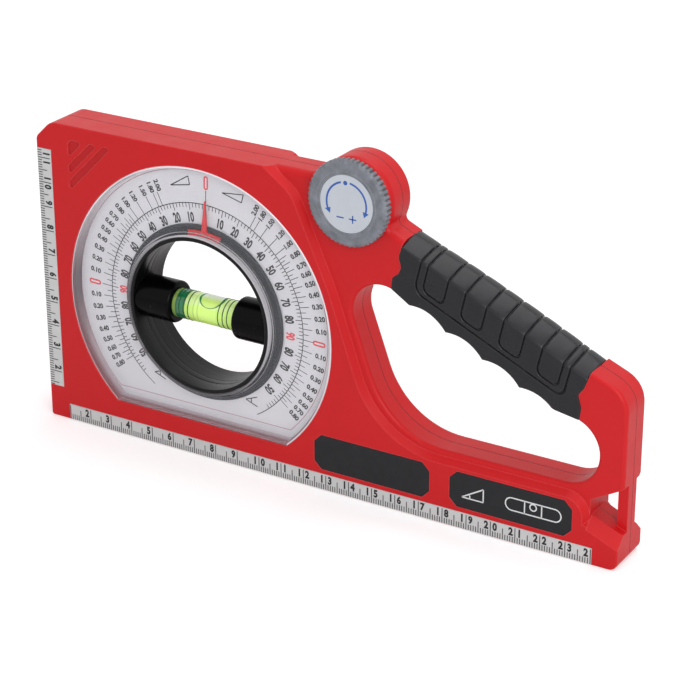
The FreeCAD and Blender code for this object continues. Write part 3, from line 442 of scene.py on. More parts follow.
def coloured_line(material, axis, place, half, share, colour, x_end=None):
    """Blends a colour in near one place on an axis: the whole share close by, none half a width off.

    Where x_end is given, only what lies left of it takes the colour.
    """
    steepness = 2.5
    tree = material.node_tree
    axes = axes_of(tree, object_place(tree))
    away = maths(tree, "ABSOLUTE", maths(tree, "SUBTRACT", axes[axis], place))
    near = maths(tree, "MAXIMUM", maths(tree, "MULTIPLY_ADD", away, -1 / half, 1.0), 0.0)
    near = maths(tree, "MINIMUM", maths(tree, "MULTIPLY", near, steepness * share), share)
    if x_end is not None:
        near = maths(tree, "MULTIPLY", near, maths(tree, "LESS_THAN", axes["X"], x_end))
    coloured_over(material, near, colour)


def metal(name, colour, cloud, roughness=0.3):
    """Plated metal with fine turning marks."""
    material, tree, shader = new_material(name)
    shown = finish(tree, shader, colour, cloud, scale=300.0, share=0.4, roughness=roughness, spread=0.1,
                   grain=5000.0, depth=2e-6, soften=0.1 * mm)
    tree.links.new(shown, shader.inputs["Base Color"])
    shader.inputs["Metallic"].default_value = 1.0
    return material


def ink(name, colour, cloud):
    """Printing ink with a slightly uneven coat."""
    material, tree, shader = new_material(name)
    shown = finish(tree, shader, colour, cloud, scale=900.0, share=0.5, roughness=0.5, spread=0.1,
                   grain=6000.0, depth=1e-6)
    tree.links.new(shown, shader.inputs["Base Color"])
    return material


def clear(name, tint, roughness, shade, ior=1.49, clarity=1.0, coat=0.0):
    """Clear acrylic. Shadow rays pass straight through it, dimmed to the shade."""
    material, tree, shader = new_material(name)
    finish(tree, shader, tint, tint, scale=40.0, share=0.0, roughness=roughness, spread=0.02,
           grain=700.0, depth=2e-6)
    shader.inputs["Base Color"].default_value = tint
    shader.inputs["IOR"].default_value = ior
    shader.inputs["Transmission Weight"].default_value = clarity
    shader.inputs["Coat Weight"].default_value = coat
    passing = tree.nodes.new("ShaderNodeBsdfTransparent")
    passing.inputs["Color"].default_value = shade
    rays = tree.nodes.new("ShaderNodeLightPath")
    mix = tree.nodes.new("ShaderNodeMixShader")
    tree.links.new(rays.outputs["Is Shadow Ray"], mix.inputs["Fac"])
    tree.links.new(shader.outputs["BSDF"], mix.inputs[1])
    tree.links.new(passing.outputs["BSDF"], mix.inputs[2])
    tree.links.new(mix.outputs["Shader"], tree.nodes["Material Output"].inputs["Surface"])
    return material


# Painted light on the clear cover: its full colour, its strength, and where it grows paler along the wall.
full_painted_light = srgb(226, 223, 228)
painted_light_strength = 0.4
wall_dark_end = 0.42                 # shares of the cover's depth between which its wall grows paler
wall_pale_start = 0.8


def held_rise(tree, place, start, end):
    """How far a place lies from start to end, held between 0 and 1."""
    return held(tree, maths(tree, "MULTIPLY", maths(tree, "SUBTRACT", place, start), 1 / (end - start)))


def gathered_light(material, x_share, z_share, start, end, low, under=None):
    """Painted light on clear stuff, a glow growing across the dial from the low colour at start to full at
    end.

    The way across is x_share of the distance right of the dial's axis plus z_share of that above it.
    Well below the axis the low colour gives way to two under colours, at the front edge and at the back.
    """
    tree = material.node_tree
    shader = tree.nodes["Principled BSDF"]
    axes = axes_of(tree, object_place(tree))
    right = maths(tree, "MULTIPLY_ADD", axes["X"], x_share, -x_share * dial_x)
    above = maths(tree, "MULTIPLY_ADD", axes["Z"], z_share, -z_share * dial_z)
    rise = held_rise(tree, maths(tree, "ADD", right, above), start, end)
    if under:
        cover_depth = cover_back_y - front_y
        paler = held_rise(tree, axes["Y"], front_y + wall_dark_end * cover_depth,
                          front_y + wall_pale_start * cover_depth)
        low = blended(tree, held_rise(tree, above, -4 * mm, -26 * mm), low, blended(tree, paler, *under))
    tree.links.new(blended(tree, rise, low, full_painted_light), shader.inputs["Emission Color"])
    shader.inputs["Emission Strength"].default_value = painted_light_strength


def glowing_plastic(name, colour, cloud, glow, strength, roughness):
    """Dyed clear stuff with a painted glow of its own colour, standing in for the light it catches."""
    material, tree, shader = new_material(name)
    shown = finish(tree, shader, colour, cloud, scale=500.0, share=0.5, roughness=roughness, spread=0.04,
                   grain=1500.0, depth=1e-6)
    tree.links.new(shown, shader.inputs["Base Color"])
    shader.inputs["Emission Color"].default_value = glow
    shader.inputs["Emission Strength"].default_value = strength
    return material


def dark_valleys(material, colour):
    """Painted shade: blends a colour in by the mesh's own "valley" attribute, 1 in the deepest parts."""
    valley = material.node_tree.nodes.new("ShaderNodeAttribute")
    valley.attribute_name = "valley"
    coloured_over(material, valley.outputs["Fac"], colour)


# The shell's edges take a painted highlight.
red_shell = plastic("red_moulded_shell", srgb(205, 20, 26), srgb(196, 16, 22), scale=45.0, share=0.5,
                    roughness=0.4, spread=0.08, grain=1800.0, depth=3e-6, soften=0.3 * mm, ior=1.35,
                    edge_highlight=srgb(228, 88, 90))
# Painted shade along the seam where the shells meet.
coloured_line(red_shell, "Y", seam_y, half=0.34 * mm, share=0.8, colour=srgb(150, 14, 20))
# Painted shade on the floors of the three slanted vents.
vent_floor_y = front_y + 0.5 * mm    # the three slanted vents lie left of vent_end_x
vent_end_x = left_x + 45 * mm
coloured_line(red_shell, "Y", vent_floor_y, half=0.24 * mm, share=0.32, colour=srgb(158, 8, 14),
              x_end=vent_end_x)
# The rubber's edges take a painted highlight, for glints along the grooves.
grip_rubber = plastic("dark_rubber", srgb(22, 22, 26), srgb(33, 33, 37), scale=120.0, share=0.6,
                      roughness=0.3, spread=0.1, grain=3500.0, depth=5e-6, soften=None, ior=1.4,
                      edge_highlight=srgb(96, 96, 102))
# Painted shade along the grip's seam.
coloured_line(grip_rubber, "Y", seam_y, half=0.3 * mm, share=0.8, colour=srgb(14, 14, 16))
# The knob's edges take a painted highlight.
knob_plastic = plastic("grey_knob_plastic", srgb(98, 101, 108), srgb(136, 139, 148), scale=240.0, share=0.9,
                       roughness=0.42, spread=0.15, grain=900.0, depth=3.5e-5, soften=None, ior=1.42,
                       edge_highlight=srgb(165, 168, 174))
# Painted shade in the ridges' valleys and under the knob's back edge.
dark_valleys(knob_plastic, srgb(42, 43, 50))
ring_look = {"colour": srgb(9, 9, 11), "cloud": srgb(17, 17, 19), "scale": 90.0, "share": 0.5,
             "roughness": 0.3, "spread": 0.08, "soften": 0.12 * mm, "ior": 1.3}
black_plastic = plastic("black_ring_plastic", **ring_look)
rear_ring_plastic = plastic("black_rear_ring_plastic", **ring_look)
# Painted shade and a painted highlight in the rear ring's bore: the dark line, and the pale one behind it.
ring_step_y = 4.2 * mm               # a dark line in the rear ring's bore, with a pale one behind it
coloured_line(rear_ring_plastic, "Y", ring_step_y, half=0.3 * mm, share=0.8, colour=srgb(2, 2, 2))
coloured_line(rear_ring_plastic, "Y", ring_step_y + 0.5 * mm, half=0.25 * mm, share=0.6,
              colour=srgb(48, 48, 52))
flange_plastic = plastic("grey_flange_plastic", srgb(46, 48, 53), srgb(58, 60, 65), scale=90.0, share=0.5,
                         roughness=0.45, soften=0.1 * mm, ior=1.34)
socket_plastic = plastic("gloss_black_socket", srgb(3, 3, 4), srgb(7, 7, 8), scale=90.0, share=0.5,
                         roughness=0.26, spread=0.05, depth=1e-6, soften=0.15 * mm, ior=1.18)
badge_plastic = plastic("dark_badge_film", srgb(34, 35, 37), srgb(43, 44, 46), scale=200.0, share=0.5,
                        roughness=0.5, spread=0.08, soften=0.15 * mm, ior=1.3)
gear_nylon = plastic("natural_nylon", srgb(222, 220, 210), srgb(205, 203, 190), roughness=0.45)
red_needle = plastic("red_needle", srgb(196, 40, 48), srgb(176, 30, 36), scale=300.0, roughness=0.4)
felt = plastic("black_felt", srgb(40, 40, 40), srgb(60, 60, 60), scale=2500.0, share=0.8, roughness=0.9,
               grain=6000.0, depth=8e-5)
dial_sheet = plastic("dial_sheet_print", srgb(194, 193, 197), srgb(185, 184, 189), scale=30.0, share=0.4,
                     roughness=0.42, spread=0.04, grain=4000.0, depth=1e-6, soften=None)
ruler_film = plastic("ruler_film", srgb(209, 209, 209), srgb(197, 197, 197), scale=90.0, share=0.6,
                     roughness=0.36, spread=0.08, grain=2600.0, depth=1.5e-6, soften=0.06 * mm)
label_film = plastic("knob_label_film", srgb(198, 203, 211), srgb(180, 186, 197), scale=120.0, share=0.4,
                     roughness=0.4, spread=0.05, soften=0.1 * mm)
steel = metal("zinc_plated_steel", srgb(196, 197, 199), srgb(160, 162, 165))
magnet_plating = metal("nickel_plating", srgb(205, 203, 198), srgb(180, 178, 172), roughness=0.2)
black_ink = ink("black_ink", srgb(14, 14, 17), srgb(28, 28, 32))
red_ink = ink("red_ink", srgb(204, 48, 60), srgb(214, 76, 86))
blue_ink = ink("blue_ink", srgb(44, 88, 168), srgb(60, 104, 180))
white_ink = ink("white_ink", srgb(226, 228, 230), srgb(205, 207, 210))
# Ink for the painted highlight of the cover's rim.
rim_highlight_ink = ink("pink_line_ink", srgb(150, 104, 112), srgb(172, 128, 134))
line_ink = ink("vial_line_ink", srgb(28, 84, 36), srgb(40, 100, 46))
cover_ior = 1.12
wall_shade = (0.85, 0.85, 0.86, 1)
cover_acrylic = clear("clear_cover_acrylic", (0.985, 0.985, 0.99, 1), 0.01, (0.96, 0.96, 0.97, 1), cover_ior,
                      coat=0.4)
# The cover's wall: a grey tint for painted shade, lifted by painted light, with a painted red reflection of
# the shell low at its front.
cover_wall = clear("cover_edge_acrylic", srgb(150, 139, 144), 0.3, wall_shade, cover_ior, clarity=0.5)
# The collar's edges: painted light.
collar_acrylic = clear("collar_edge_acrylic", srgb(130, 127, 131), 0.2, wall_shade, cover_ior, clarity=0.6)
# The arc's front edge: a painted glint.
glint_acrylic = clear("bright_edge_acrylic", srgb(226, 224, 228), 0.15, wall_shade, cover_ior, clarity=0.4)
gathered_light(cover_wall, x_share=0.0, z_share=1.0, start=4 * mm, end=46 * mm, low=srgb(70, 74, 78),
               under=(srgb(84, 0, 6), srgb(186, 174, 180)))
gathered_light(glint_acrylic, x_share=0.0, z_share=1.0, start=-60 * mm, end=60 * mm,
               low=srgb(190, 186, 190))
gathered_light(collar_acrylic, x_share=0.7, z_share=1.0, start=-20 * mm, end=22 * mm,
               low=srgb(84, 82, 86))
vial_acrylic = clear("clear_vial_acrylic", (0.97, 1.0, 0.93, 1), 0.01, (0.9, 0.98, 0.75, 1))
# The spirit and the plug glow with painted light.
spirit = glowing_plastic("yellow_green_spirit", srgb(210, 238, 136), srgb(202, 233, 112),
                         glow=srgb(214, 244, 130), strength=0.22, roughness=0.25)
green_plug = glowing_plastic("dark_green_plug", srgb(0, 112, 76), srgb(0, 130, 90),
                             glow=srgb(0, 120, 80), strength=0.1, roughness=0.3)
# The plug's pale ring and its two dark ones, in millimetres from the dial's axis.
for place, half, share, colour in ((-14.1, 0.9, 0.85, srgb(176, 190, 96)),
                                   (-12.9, 0.35, 0.7, srgb(0, 46, 34)),
                                   (-11.6, 0.3, 0.6, srgb(0, 60, 44))):
    coloured_line(green_plug, "X", dial_x + place * mm, half * mm, share, colour)
# A painted highlight along the spirit's top, and the printed lines of the rod's far side as they show through
# it.
coloured_line(spirit, "Z", vial_z + vial_bore, half=2.6 * mm, share=0.55, colour=srgb(228, 234, 210))
for far_line in (-5.0, -3.1, 12.9):
    coloured_line(spirit, "X", dial_x + far_line * mm, half=0.35 * mm, share=0.4, colour=srgb(96, 140, 60))


# ---- scales and figures on the dial -------------------------------------------------------
print_lift = 0.03 * mm               # ink lies this far in front of its sheet
dial_print_y = dial_face_y - print_lift
dial_turn = math.radians(1.9)        # the sheet sits turned clockwise by this
print_x = dial_x + 0.3 * mm          # and its print lies 0.3 mm to the right
tick_circle = 43.8 * mm
figure_circle = 38.2 * mm
slope_circle = 51.8 * mm


def on_dial(angle, radius):
    """Points (x, z) at angles clockwise from the dial's top, counted in degrees, and at radii."""
    return np.array([print_x, dial_z]) + np.asarray(radius)[..., None] * ray(np.radians(angle) + dial_turn)


def slope_angle(slope):
    """Where a slope of rise over run lies: the angle from the dial's top whose cotangent it is."""
    return math.degrees(math.atan2(1.0, slope))


def dial_scale(body="housing"):
    """Angle ticks inside the circle, slope ticks outside it, and the circle itself.

    Slopes are ticked at every 0.05, up to 0.9 above the level line and 0.8 under it, and at five
    steeper ones above.
    """
    angle_stroke, slope_stroke, circle_stroke = 0.3 * mm, 0.28 * mm, 0.34 * mm
    arc_end = math.radians(147.0)
    angles = np.arange(-138, 139, 2)
    reach = np.where(angles % 10 == 0, 2.9 * mm, 1.8 * mm)
    shapes = [bars(on_dial(angles, tick_circle), on_dial(angles, tick_circle - reach), angle_stroke)]
    steps = np.arange(1, 19)
    fine = np.array([slope_angle(slope) for slope in steps * 0.05])
    fine_lengths = np.where(steps % 2 == 0, 4.2, 2.4)
    places = np.concatenate([fine, 180 - fine[:16], [90.0]])
    lengths = np.concatenate([fine_lengths, fine_lengths[:16], [4.6]]) * mm
    steep = np.array([slope_angle(slope) for slope in (1.0, 1.2, 1.5, 1.8, 2.0)])
    for side in (-1, 1):
        for ticks, length in ((side * places, lengths), (side * steep, 5.6 * mm)):
            starts, ends = on_dial(ticks, tick_circle), on_dial(ticks, tick_circle + length)
            shapes.append(bars(starts, ends, slope_stroke))
    shapes.append(arc_bars(tick_circle, circle_stroke, -arc_end + dial_turn, arc_end + dial_turn, 240,
                           (print_x, dial_z)))
    shapes.append(bars(on_dial(0.0, 44.5 * mm), on_dial(0.0, 49.5 * mm), angle_stroke))
    print_on("dial_scale", np.concatenate(shapes), dial_print_y, body, black_ink)


def dial_border(body="housing"):
    """A painted highlight of the clear cover's rim, as a fine pink line just inside the sheet's edge: an arc,
    and a chord across the bottom.
    """
    radius = 56.6 * mm
    stroke = 0.26 * mm
    middle = dial_x - 1.7 * mm
    chord = 18.6 * mm - dial_z
    end = math.acos(chord / radius)
    arc = arc_bars(radius, stroke, -end, end, 200, (middle, dial_z))
    half = radius * math.sin(end)
    line = bars([middle - half, dial_z + chord], [middle + half, dial_z + chord], stroke)
    print_on("dial_border", np.concatenate([arc, line]), dial_print_y, body, rim_highlight_ink)


def tall_zero(centre, turn):
    """A nought as two upright bars joined by half rings, turned clockwise by turn radians."""
    stroke, half_width, straight = 0.66 * mm, 0.7 * mm, 1.75 * mm
    sides = np.array([[[side * half_width, -straight], [side * half_width, straight]] for side in (-1, 1)])
    sides = spun(sides, turn, centre)
    shapes = [bars(sides[:, 0], sides[:, 1], stroke)]
    for way in (-1, 1):
        middle = spun(np.array([0.0, way * straight]), turn, centre)
        start = turn + (0 if way > 0 else math.pi) - math.pi / 2
        shapes.append(arc_bars(half_width, stroke, start, start + math.pi, 12, middle))
    return np.concatenate(shapes)


def dial_figures(body="housing"):
    """Degrees stand with their tops outwards; slopes read inwards on the left and outwards on the right.

    Each slope stands at its own angle, save two that are nudged (in degrees) to clear their neighbours.
    """
    figure_height, slope_height = 4.1 * mm, 2.15 * mm
    black, red, zeros = [], [], []
    nudges = {2.0: -1.4, 0.8: -1.4}
    for side in (-1, 1):
        for angle in range(10, 131, 10):
            shown = angle if angle <= 90 else 180 - angle
            words = label(str(shown), on_dial(side * angle, figure_circle), figure_height, 0.61,
                          math.radians(side * angle) + dial_turn, 0.04)
            (red if shown == 90 else black).append(words)
        for slope in (2.0, 1.8, 1.5, 1.2, 1.0, 0.8, 0.7, 0.6, 0.5, 0.4, 0.3, 0.2, 0.1):
            places = [slope_angle(slope) + nudges.get(slope, 0.0)]
            places += [180 - slope_angle(slope)] if slope < 0.85 else []
            for place in places:
                angle = side * place
                turn = math.radians(angle) + dial_turn - side * math.pi / 2
                black.append(label("%.2f" % slope, on_dial(angle, slope_circle), slope_height, 1.0, turn,
                                   0.045))
        zeros.append(tall_zero(on_dial(side * 90.0, (51.4 - 0.6 * side) * mm),
                               math.radians(side * 90) + dial_turn))
    zeros.append(tall_zero(on_dial(0.0, 52.6 * mm), dial_turn))
    for name, shapes, colour in (("dial_figures", black, black_ink), ("dial_nineties", red, red_ink),
                                 ("dial_zeros", zeros, red_ink)):
        print_on(name, np.concatenate(shapes), dial_print_y, body, colour)


def dial_symbols(body="housing"):
    """A small wedge either side of the top zero for the slopes, and open angles low down for the degrees."""
    shapes = []
    stroke = 0.42 * mm
    wedge_height = 3.4 * mm
    wedge = np.array([[-1.3, -0.5], [1.3, -0.5], [1.3, 0.5], [-1.3, -0.5]]) * wedge_height
    for angle in (-13.2, 13.2):
        turned_wedge = spun(wedge, math.radians(angle) + dial_turn, on_dial(angle, 52.4 * mm))
        shapes.append(strokes(turned_wedge, stroke))
    for side in (-1, 1):
        centre = on_dial(side * 146.0, 38.0 * mm)
        open_angle = np.array([[2.6, 2.0], [-2.6, 0.0], [2.6, -2.0]]) * mm + centre
        shapes.append(strokes(open_angle, stroke))
        shapes.append(arc_bars(2.6 * mm, stroke, math.radians(68), math.radians(112), 8, open_angle[1]))
    print_on("dial_symbols", np.concatenate(shapes), dial_print_y, body, black_ink)


# ---- rulers -------------------------------------------------------------------------------
def ruler_ticks(first, last, edge, reach_one, reach_five, reach_ten):
    """Starts and ends of millimetre ticks as (place, height), the fifth and tenth ones longer."""
    marks = np.arange(first, last + 1)
    reach = np.where(marks % 10 == 0, reach_ten, np.where(marks % 5 == 0, reach_five, reach_one))
    low = np.stack([marks * mm, np.full(len(marks), edge)], axis=-1)
    high = np.stack([marks * mm, edge + reach], axis=-1)
    return low, high


scale_zero = left_x - 0.3 * mm       # the base's scale counts from here, the end's from the base
tick_width = 0.34 * mm
figure_offset = 1.75 * mm            # two-figure numbers stand this far either side of their tick
figure_shape = (3.3 * mm, 0.84)      # height and squeeze
figure_weight = 0.048


def base_scale(body="housing"):
    """Along the base from the left end. The sheet ends before the second figure of the last number."""
    low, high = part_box("base_ruler")
    first = math.ceil((low.x - scale_zero) / mm)
    last = math.floor((high.x - scale_zero) / mm)
    starts, ends = ruler_ticks(first, last, low.z + 0.1 * mm, 2.2 * mm, 4.5 * mm, 5.9 * mm)
    ticks = bars(starts + [scale_zero, 0], ends + [scale_zero, 0], tick_width)
    figures = []
    height = low.z + 4.3 * mm
    for number in range(2, 24):
        place = scale_zero + number * 10 * mm
        for figure, offset in zip(str(number), (-figure_offset, figure_offset)):
            figures.append(label(figure, (place + offset, height), *figure_shape, 0.0, figure_weight))
    figures.append(label("2", (scale_zero + 238.2 * mm, height), *figure_shape, 0.0, figure_weight))
    print_on("base_ruler_ticks", ticks, low.y - print_lift, body, black_ink)
    print_on("base_ruler_figures", np.concatenate(figures), low.y - print_lift, body,
             black_ink)


def end_scale(body="housing"):
    """Up the end from the base; the figures lie on their sides with their tops to the right."""
    low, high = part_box("end_ruler")
    first = math.ceil(low.z / mm)
    last = math.floor(high.z / mm)
    starts, ends = ruler_ticks(first, last, low.x + 0.1 * mm, 2.0 * mm, 4.2 * mm, 5.8 * mm)
    ticks = bars(starts[:, ::-1], ends[:, ::-1], tick_width)
    figures = []
    centre = low.x + 4.3 * mm
    for number in range(2, 12):
        for figure, offset in zip(str(number), (figure_offset, -figure_offset)):
            figures.append(label(figure, (centre, number * 10 * mm + offset), *figure_shape, math.pi / 2,
                                 figure_weight))
    print_on("end_ruler_ticks", ticks, low.y - print_lift, body, black_ink)
    print_on("end_ruler_figures", np.concatenate(figures), low.y - print_lift, body,
             black_ink)


# ---- knob ---------------------------------------------------------------------------------
knob_ridges = 52
ridge_depth = 1.0 * mm
ridge_start = 1.3 * mm               # the ridges begin this far inside the rim
ridge_rise = 0.8 * mm                # and reach their full depth this much further out
ridge_run = 1.6 * mm                 # and this far behind the front face
deepest_shade = 0.9
knob_segments = knob_ridges * 8


def knob_shape():
    """A turned disc with a ridged rim.

    The radius dips by one less a power of a sine of the angle, whose zeros lie between the ridges. The
    "valley" attribute, which carries painted shade, grows with the depth under the rim and with the way back.
    """
    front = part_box("knob")[0].y
    label_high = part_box("knob_label")[1]
    rim = 16.5 * mm
    label_rim = label_high.x - knob_x + 0.1 * mm
    back = front + 4.45 * mm
    fine = 0.22 * mm
    corners = [(0.0, back), (0.0, label_high.y + 0.05 * mm), (label_rim, label_high.y + 0.05 * mm),
               (label_rim, front + 0.12 * mm), (label_rim + 0.3 * mm, front), (label_rim + 1.0 * mm, front),
               (label_rim + 1.0 * mm + fine, front + fine), (label_rim + 1.0 * mm + 2 * fine, front),
               (rim - 1.25 * mm, front), (rim - 0.12 * mm, front + 0.75 * mm), (rim, front + 1.3 * mm),
               (rim, back - 0.9 * mm), (rim - 1.4 * mm, back)]
    profile = rounded_profile(corners, 0.14 * mm, 4)
    profile = profile[profile[:, 0] > -1e-9]

    def comb(angles, radii, places):
        side = np.clip((radii - (rim - ridge_start)) / ridge_rise, 0, 1)
        side = side * np.clip((places - front) / ridge_run, 0.3, 1)
        wave = np.abs(np.sin(angles * knob_ridges / 2)) ** 0.7
        return -ridge_depth * side * (1 - wave)

    piece = turned("ridged_knob", profile, (knob_x, 0, knob_z), (0, 1, 0), knob_segments, "knob_set",
                   knob_plastic, comb)
    places = read_rows(piece.data.vertices, "co") - [knob_x, front, knob_z]
    under_rim = (rim - np.hypot(places[:, 0], places[:, 2])) / mm
    behind = places[:, 1] / mm
    shade = np.clip(1.3 * under_rim - 0.1, 0, deepest_shade) * np.clip(behind - 0.8, 0, 1)
    shade = np.clip(np.maximum(shade, 0.8 * (behind - 3.4)), 0, deepest_shade)
    piece.data.attributes.new("valley", "FLOAT", "POINT").data.foreach_set("value", shade)
    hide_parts("knob")


def knob_marks(body="knob_set"):
    """A dot at the top, an arrow curving down each side of it, and small minus and plus signs below."""
    label_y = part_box("knob_label")[0].y
    centre = (knob_x, knob_z)
    radius = 8.2 * mm
    stroke = 0.74 * mm
    arrow_half = 1.25 * mm
    angles = np.radians([13, 106, 121])      # of an arrow's start, its head and its tip
    label_turn = math.radians(-3)
    shapes = []
    for side in (-1, 1):
        start, base, tip = side * angles + label_turn
        shapes.append(arc_bars(radius, stroke, start, base, 28, centre))
        arrow = np.stack([ray(base) * (radius - arrow_half), ray(base) * (radius + arrow_half),
                          ray(tip) * radius])
        shapes.append(arrow[[0, 1, 2, 2]][None] + centre)        # a triangle, its tip counted twice
    dot_sides = 16
    dot_angles = np.linspace(0, 2 * math.pi, dot_sides + 1)
    dot = np.array(centre) + 7.9 * mm * ray(label_turn)
    edge = np.stack([np.cos(dot_angles), np.sin(dot_angles)], axis=-1) * 0.85 * mm + dot
    middle = np.broadcast_to(dot, (dot_sides, 2))
    shapes.append(np.stack([middle, edge[:-1], edge[1:], edge[1:]], axis=1))
    sign_half, sign_stroke = 1.5 * mm, 0.5 * mm
    for side in (-1, 1):
        sign = np.array([knob_x + side * 2.6 * mm, knob_z - 5.4 * mm])
        shapes.append(bars(sign - [sign_half, 0], sign + [sign_half, 0], sign_stroke))
        if side > 0:
            shapes.append(bars(sign - [0, sign_half], sign + [0, sign_half], sign_stroke))
    print_on("knob_label_marks", np.concatenate(shapes), label_y - print_lift, body,
             blue_ink)


# ---- turning ring -------------------------------------------------------------------------
ring_bore = 30.0 * mm
ring_outside = 31.4 * mm
ring_steps = 240


def front_sleeve(body="vial_rotor"):
    """The front half of the ring's sleeve, with a fine groove in its bore.

    The rear half and the hidden gear keep their own solid.
    """
    low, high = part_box("front_ring")
    groove, groove_y = 0.22 * mm, -3.2 * mm
    corners = [(ring_bore, low.y), (ring_bore, groove_y - groove), (ring_bore + groove, groove_y),
               (ring_bore, groove_y + groove), (ring_bore, high.y), (ring_outside, high.y),
               (ring_outside, low.y)]
    profile = rounded_profile(corners, 0.25 * mm, 4)
    front = turned("front_sleeve", profile, (dial_x, 0, dial_z), (0, 1, 0), ring_steps, body,
                   black_plastic)
    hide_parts("front_ring")


def ring_flange(body="vial_rotor"):
    """The flange over the dial, a flat washer with a raised lip on its outer edge."""
    back = dial_face_y - 0.3 * mm
    front = back - 0.7 * mm
    outside = 35.7 * mm
    corners = [(ring_outside - 0.3 * mm, back), (ring_outside - 0.3 * mm, front), (outside - 1.2 * mm, front),
               (outside - 0.9 * mm, front - 0.15 * mm), (outside, front), (outside, back)]
    profile = rounded_profile(corners, 0.15 * mm, 4)
    turned("ring_flange", profile, (dial_x, 0, dial_z), (0, 1, 0), ring_steps, body,
           flange_plastic)


# ---- dial cover ---------------------------------------------------------------------------
cover_radius = 59.4 * mm
cover_chord = dial_z - 14.4 * mm     # from the dial's axis down to the straight lower side
cover_rim = 1.0 * mm                 # thickness of the side wall
cover_plate = 1.4 * mm
collar_depth = 3.4 * mm
collar_inside = 31.75 * mm
collar_outside = 33.2 * mm
# The collar's front edge carries painted light.
collar_edge = 0.75 * mm              # width of its bright front edge
glint_width = 0.4 * mm


def cover_reach(angles, inset):
    """From the dial's axis to the outline moved inwards: the radius, or the ray to its chord if shorter."""
    down = np.maximum(-np.cos(angles), 1e-3)
    return np.minimum(cover_radius - inset, (cover_chord - inset) / down)


def cover_piece(body="housing"):
    """The clear cover: a plate with a flat foot, a side wall behind its edge and a collar round the ring.

    Its section is a closed profile whose points lie either at a radius or at an inset from the outline.
    The faces of the wall, of the collar's edges and of the arc's front edge have materials of their own,
    which paint shade and light: a grey wall with painted light, painted light on the collar's edges and a
    painted glint along the arc's front edge.
    """
    plate = front_y + cover_plate
    collar_end = front_y + collar_depth
    step = 0.12 * mm
    corner = math.acos(-cover_chord / cover_radius)
    angles = np.linspace(-math.pi, math.pi, 480, endpoint=False)
    angles = np.sort(np.concatenate([angles, [-corner, corner]]))
    circles = [(collar_inside, collar_end), (collar_inside, front_y + step), (collar_inside + step, front_y),
               (collar_inside + collar_edge, front_y), (collar_outside, front_y)]
    outline = [(1.2 * mm, front_y), (0.8 * mm, front_y), (0.5 * mm, front_y),
               (0.2 * mm, front_y + 0.09 * mm), (0.05 * mm, front_y + 0.25 * mm), (0.0, front_y + 0.5 * mm),
               (0.0, cover_back_y - step), (step, cover_back_y), (cover_rim, cover_back_y),
               (cover_rim, plate + step), (cover_rim + step, plate), (cover_rim + 3 * step, plate)]
    collar = [(collar_outside + 5 * step, plate), (collar_outside + 2 * step, plate),
              (collar_outside, plate + 2 * step),
              (collar_outside, collar_end - 2 * step), (collar_outside - 2 * step, collar_end)]
    rows = [(np.full_like(angles, radius), y) for radius, y in circles]
    rows += [(cover_reach(angles, inset), y) for inset, y in outline]
    rows += [(np.full_like(angles, radius), y) for radius, y in collar]
    reach = np.stack([row[0] for row in rows])
    y = np.repeat(np.array([row[1] for row in rows])[:, None], len(angles), axis=1)
    points = np.stack([dial_x + reach * np.sin(angles), y, dial_z + reach * np.cos(angles)], axis=-1)
    faces = grid_faces(len(rows), len(angles), close_rows=True, close_columns=True)
    piece = make_piece("clear_dial_cover", points, faces, body, cover_acrylic)

    for material in (cover_wall, collar_acrylic, glint_acrylic):
        piece.data.materials.append(material)
    centres = read_rows(piece.data.polygons, "center") - [dial_x, 0, dial_z]
    radius, place = np.hypot(centres[:, 0], centres[:, 2]), centres[:, 1]
    inset = np.minimum(cover_radius - radius, cover_chord + centres[:, 2])
    in_wall = (inset < cover_rim + step) & (place > front_y + 0.3 * mm)
    # Painted light: the collar's front edge and the fillets at its foot and end.
    bright = (radius < collar_inside + collar_edge) & (place < collar_end - step)
    fillets = ((radius > collar_outside - 2 * step) & (radius < collar_outside + 2 * step) & (place > plate)
               & ((place < plate + 2 * step) | (place > collar_end - 2 * step)))
    # Painted glint: the arc's front edge.
    glint = (cover_radius - radius < glint_width) & (place < front_y + glint_width)
    kinds = np.select([glint, bright | fillets, in_wall], [3, 2, 1], 0)
    piece.data.polygons.foreach_set("material_index", kinds)
    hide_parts("dial_cover")


# ---- vial ---------------------------------------------------------------------------------
vial_half = 23.0 * mm
plug_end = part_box("vial_plug")[1].x - dial_x
bore_end = 20.0 * mm
bubble_middle = 1.5 * mm
bubble_half = 5.6 * mm
bubble_spread = math.radians(63)
rod_steps = 96


def round_rod(name, radius, start, end, edge, material, body="vial_rotor"):
    """A rod with rounded ends along the vial's axis."""
    corners = [(0, start), (radius, start), (radius, end), (0, end)]
    profile = np.maximum(rounded_profile(corners, edge, 4), [0, -1])
    return turned(name, profile, (dial_x, vial_y, vial_z), (1, 0, 0), rod_steps, body, material)


def vial_pieces():
    """A clear rod, with the plug and the spirit set into it."""
    rod = round_rod("vial_rod", vial_radius, -vial_half, vial_half, 0.5 * mm, vial_acrylic)
    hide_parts("vial_tube")
    liquid = round_rod("spirit_filling", vial_bore, plug_end, bore_end, 0.3 * mm, spirit)
    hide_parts("vial_liquid")
    plug = round_rod("vial_end_plug", vial_bore, -vial_half + 0.2 * mm, plug_end - 0.05 * mm, 0.25 * mm,
                     green_plug)
    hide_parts("vial_plug")


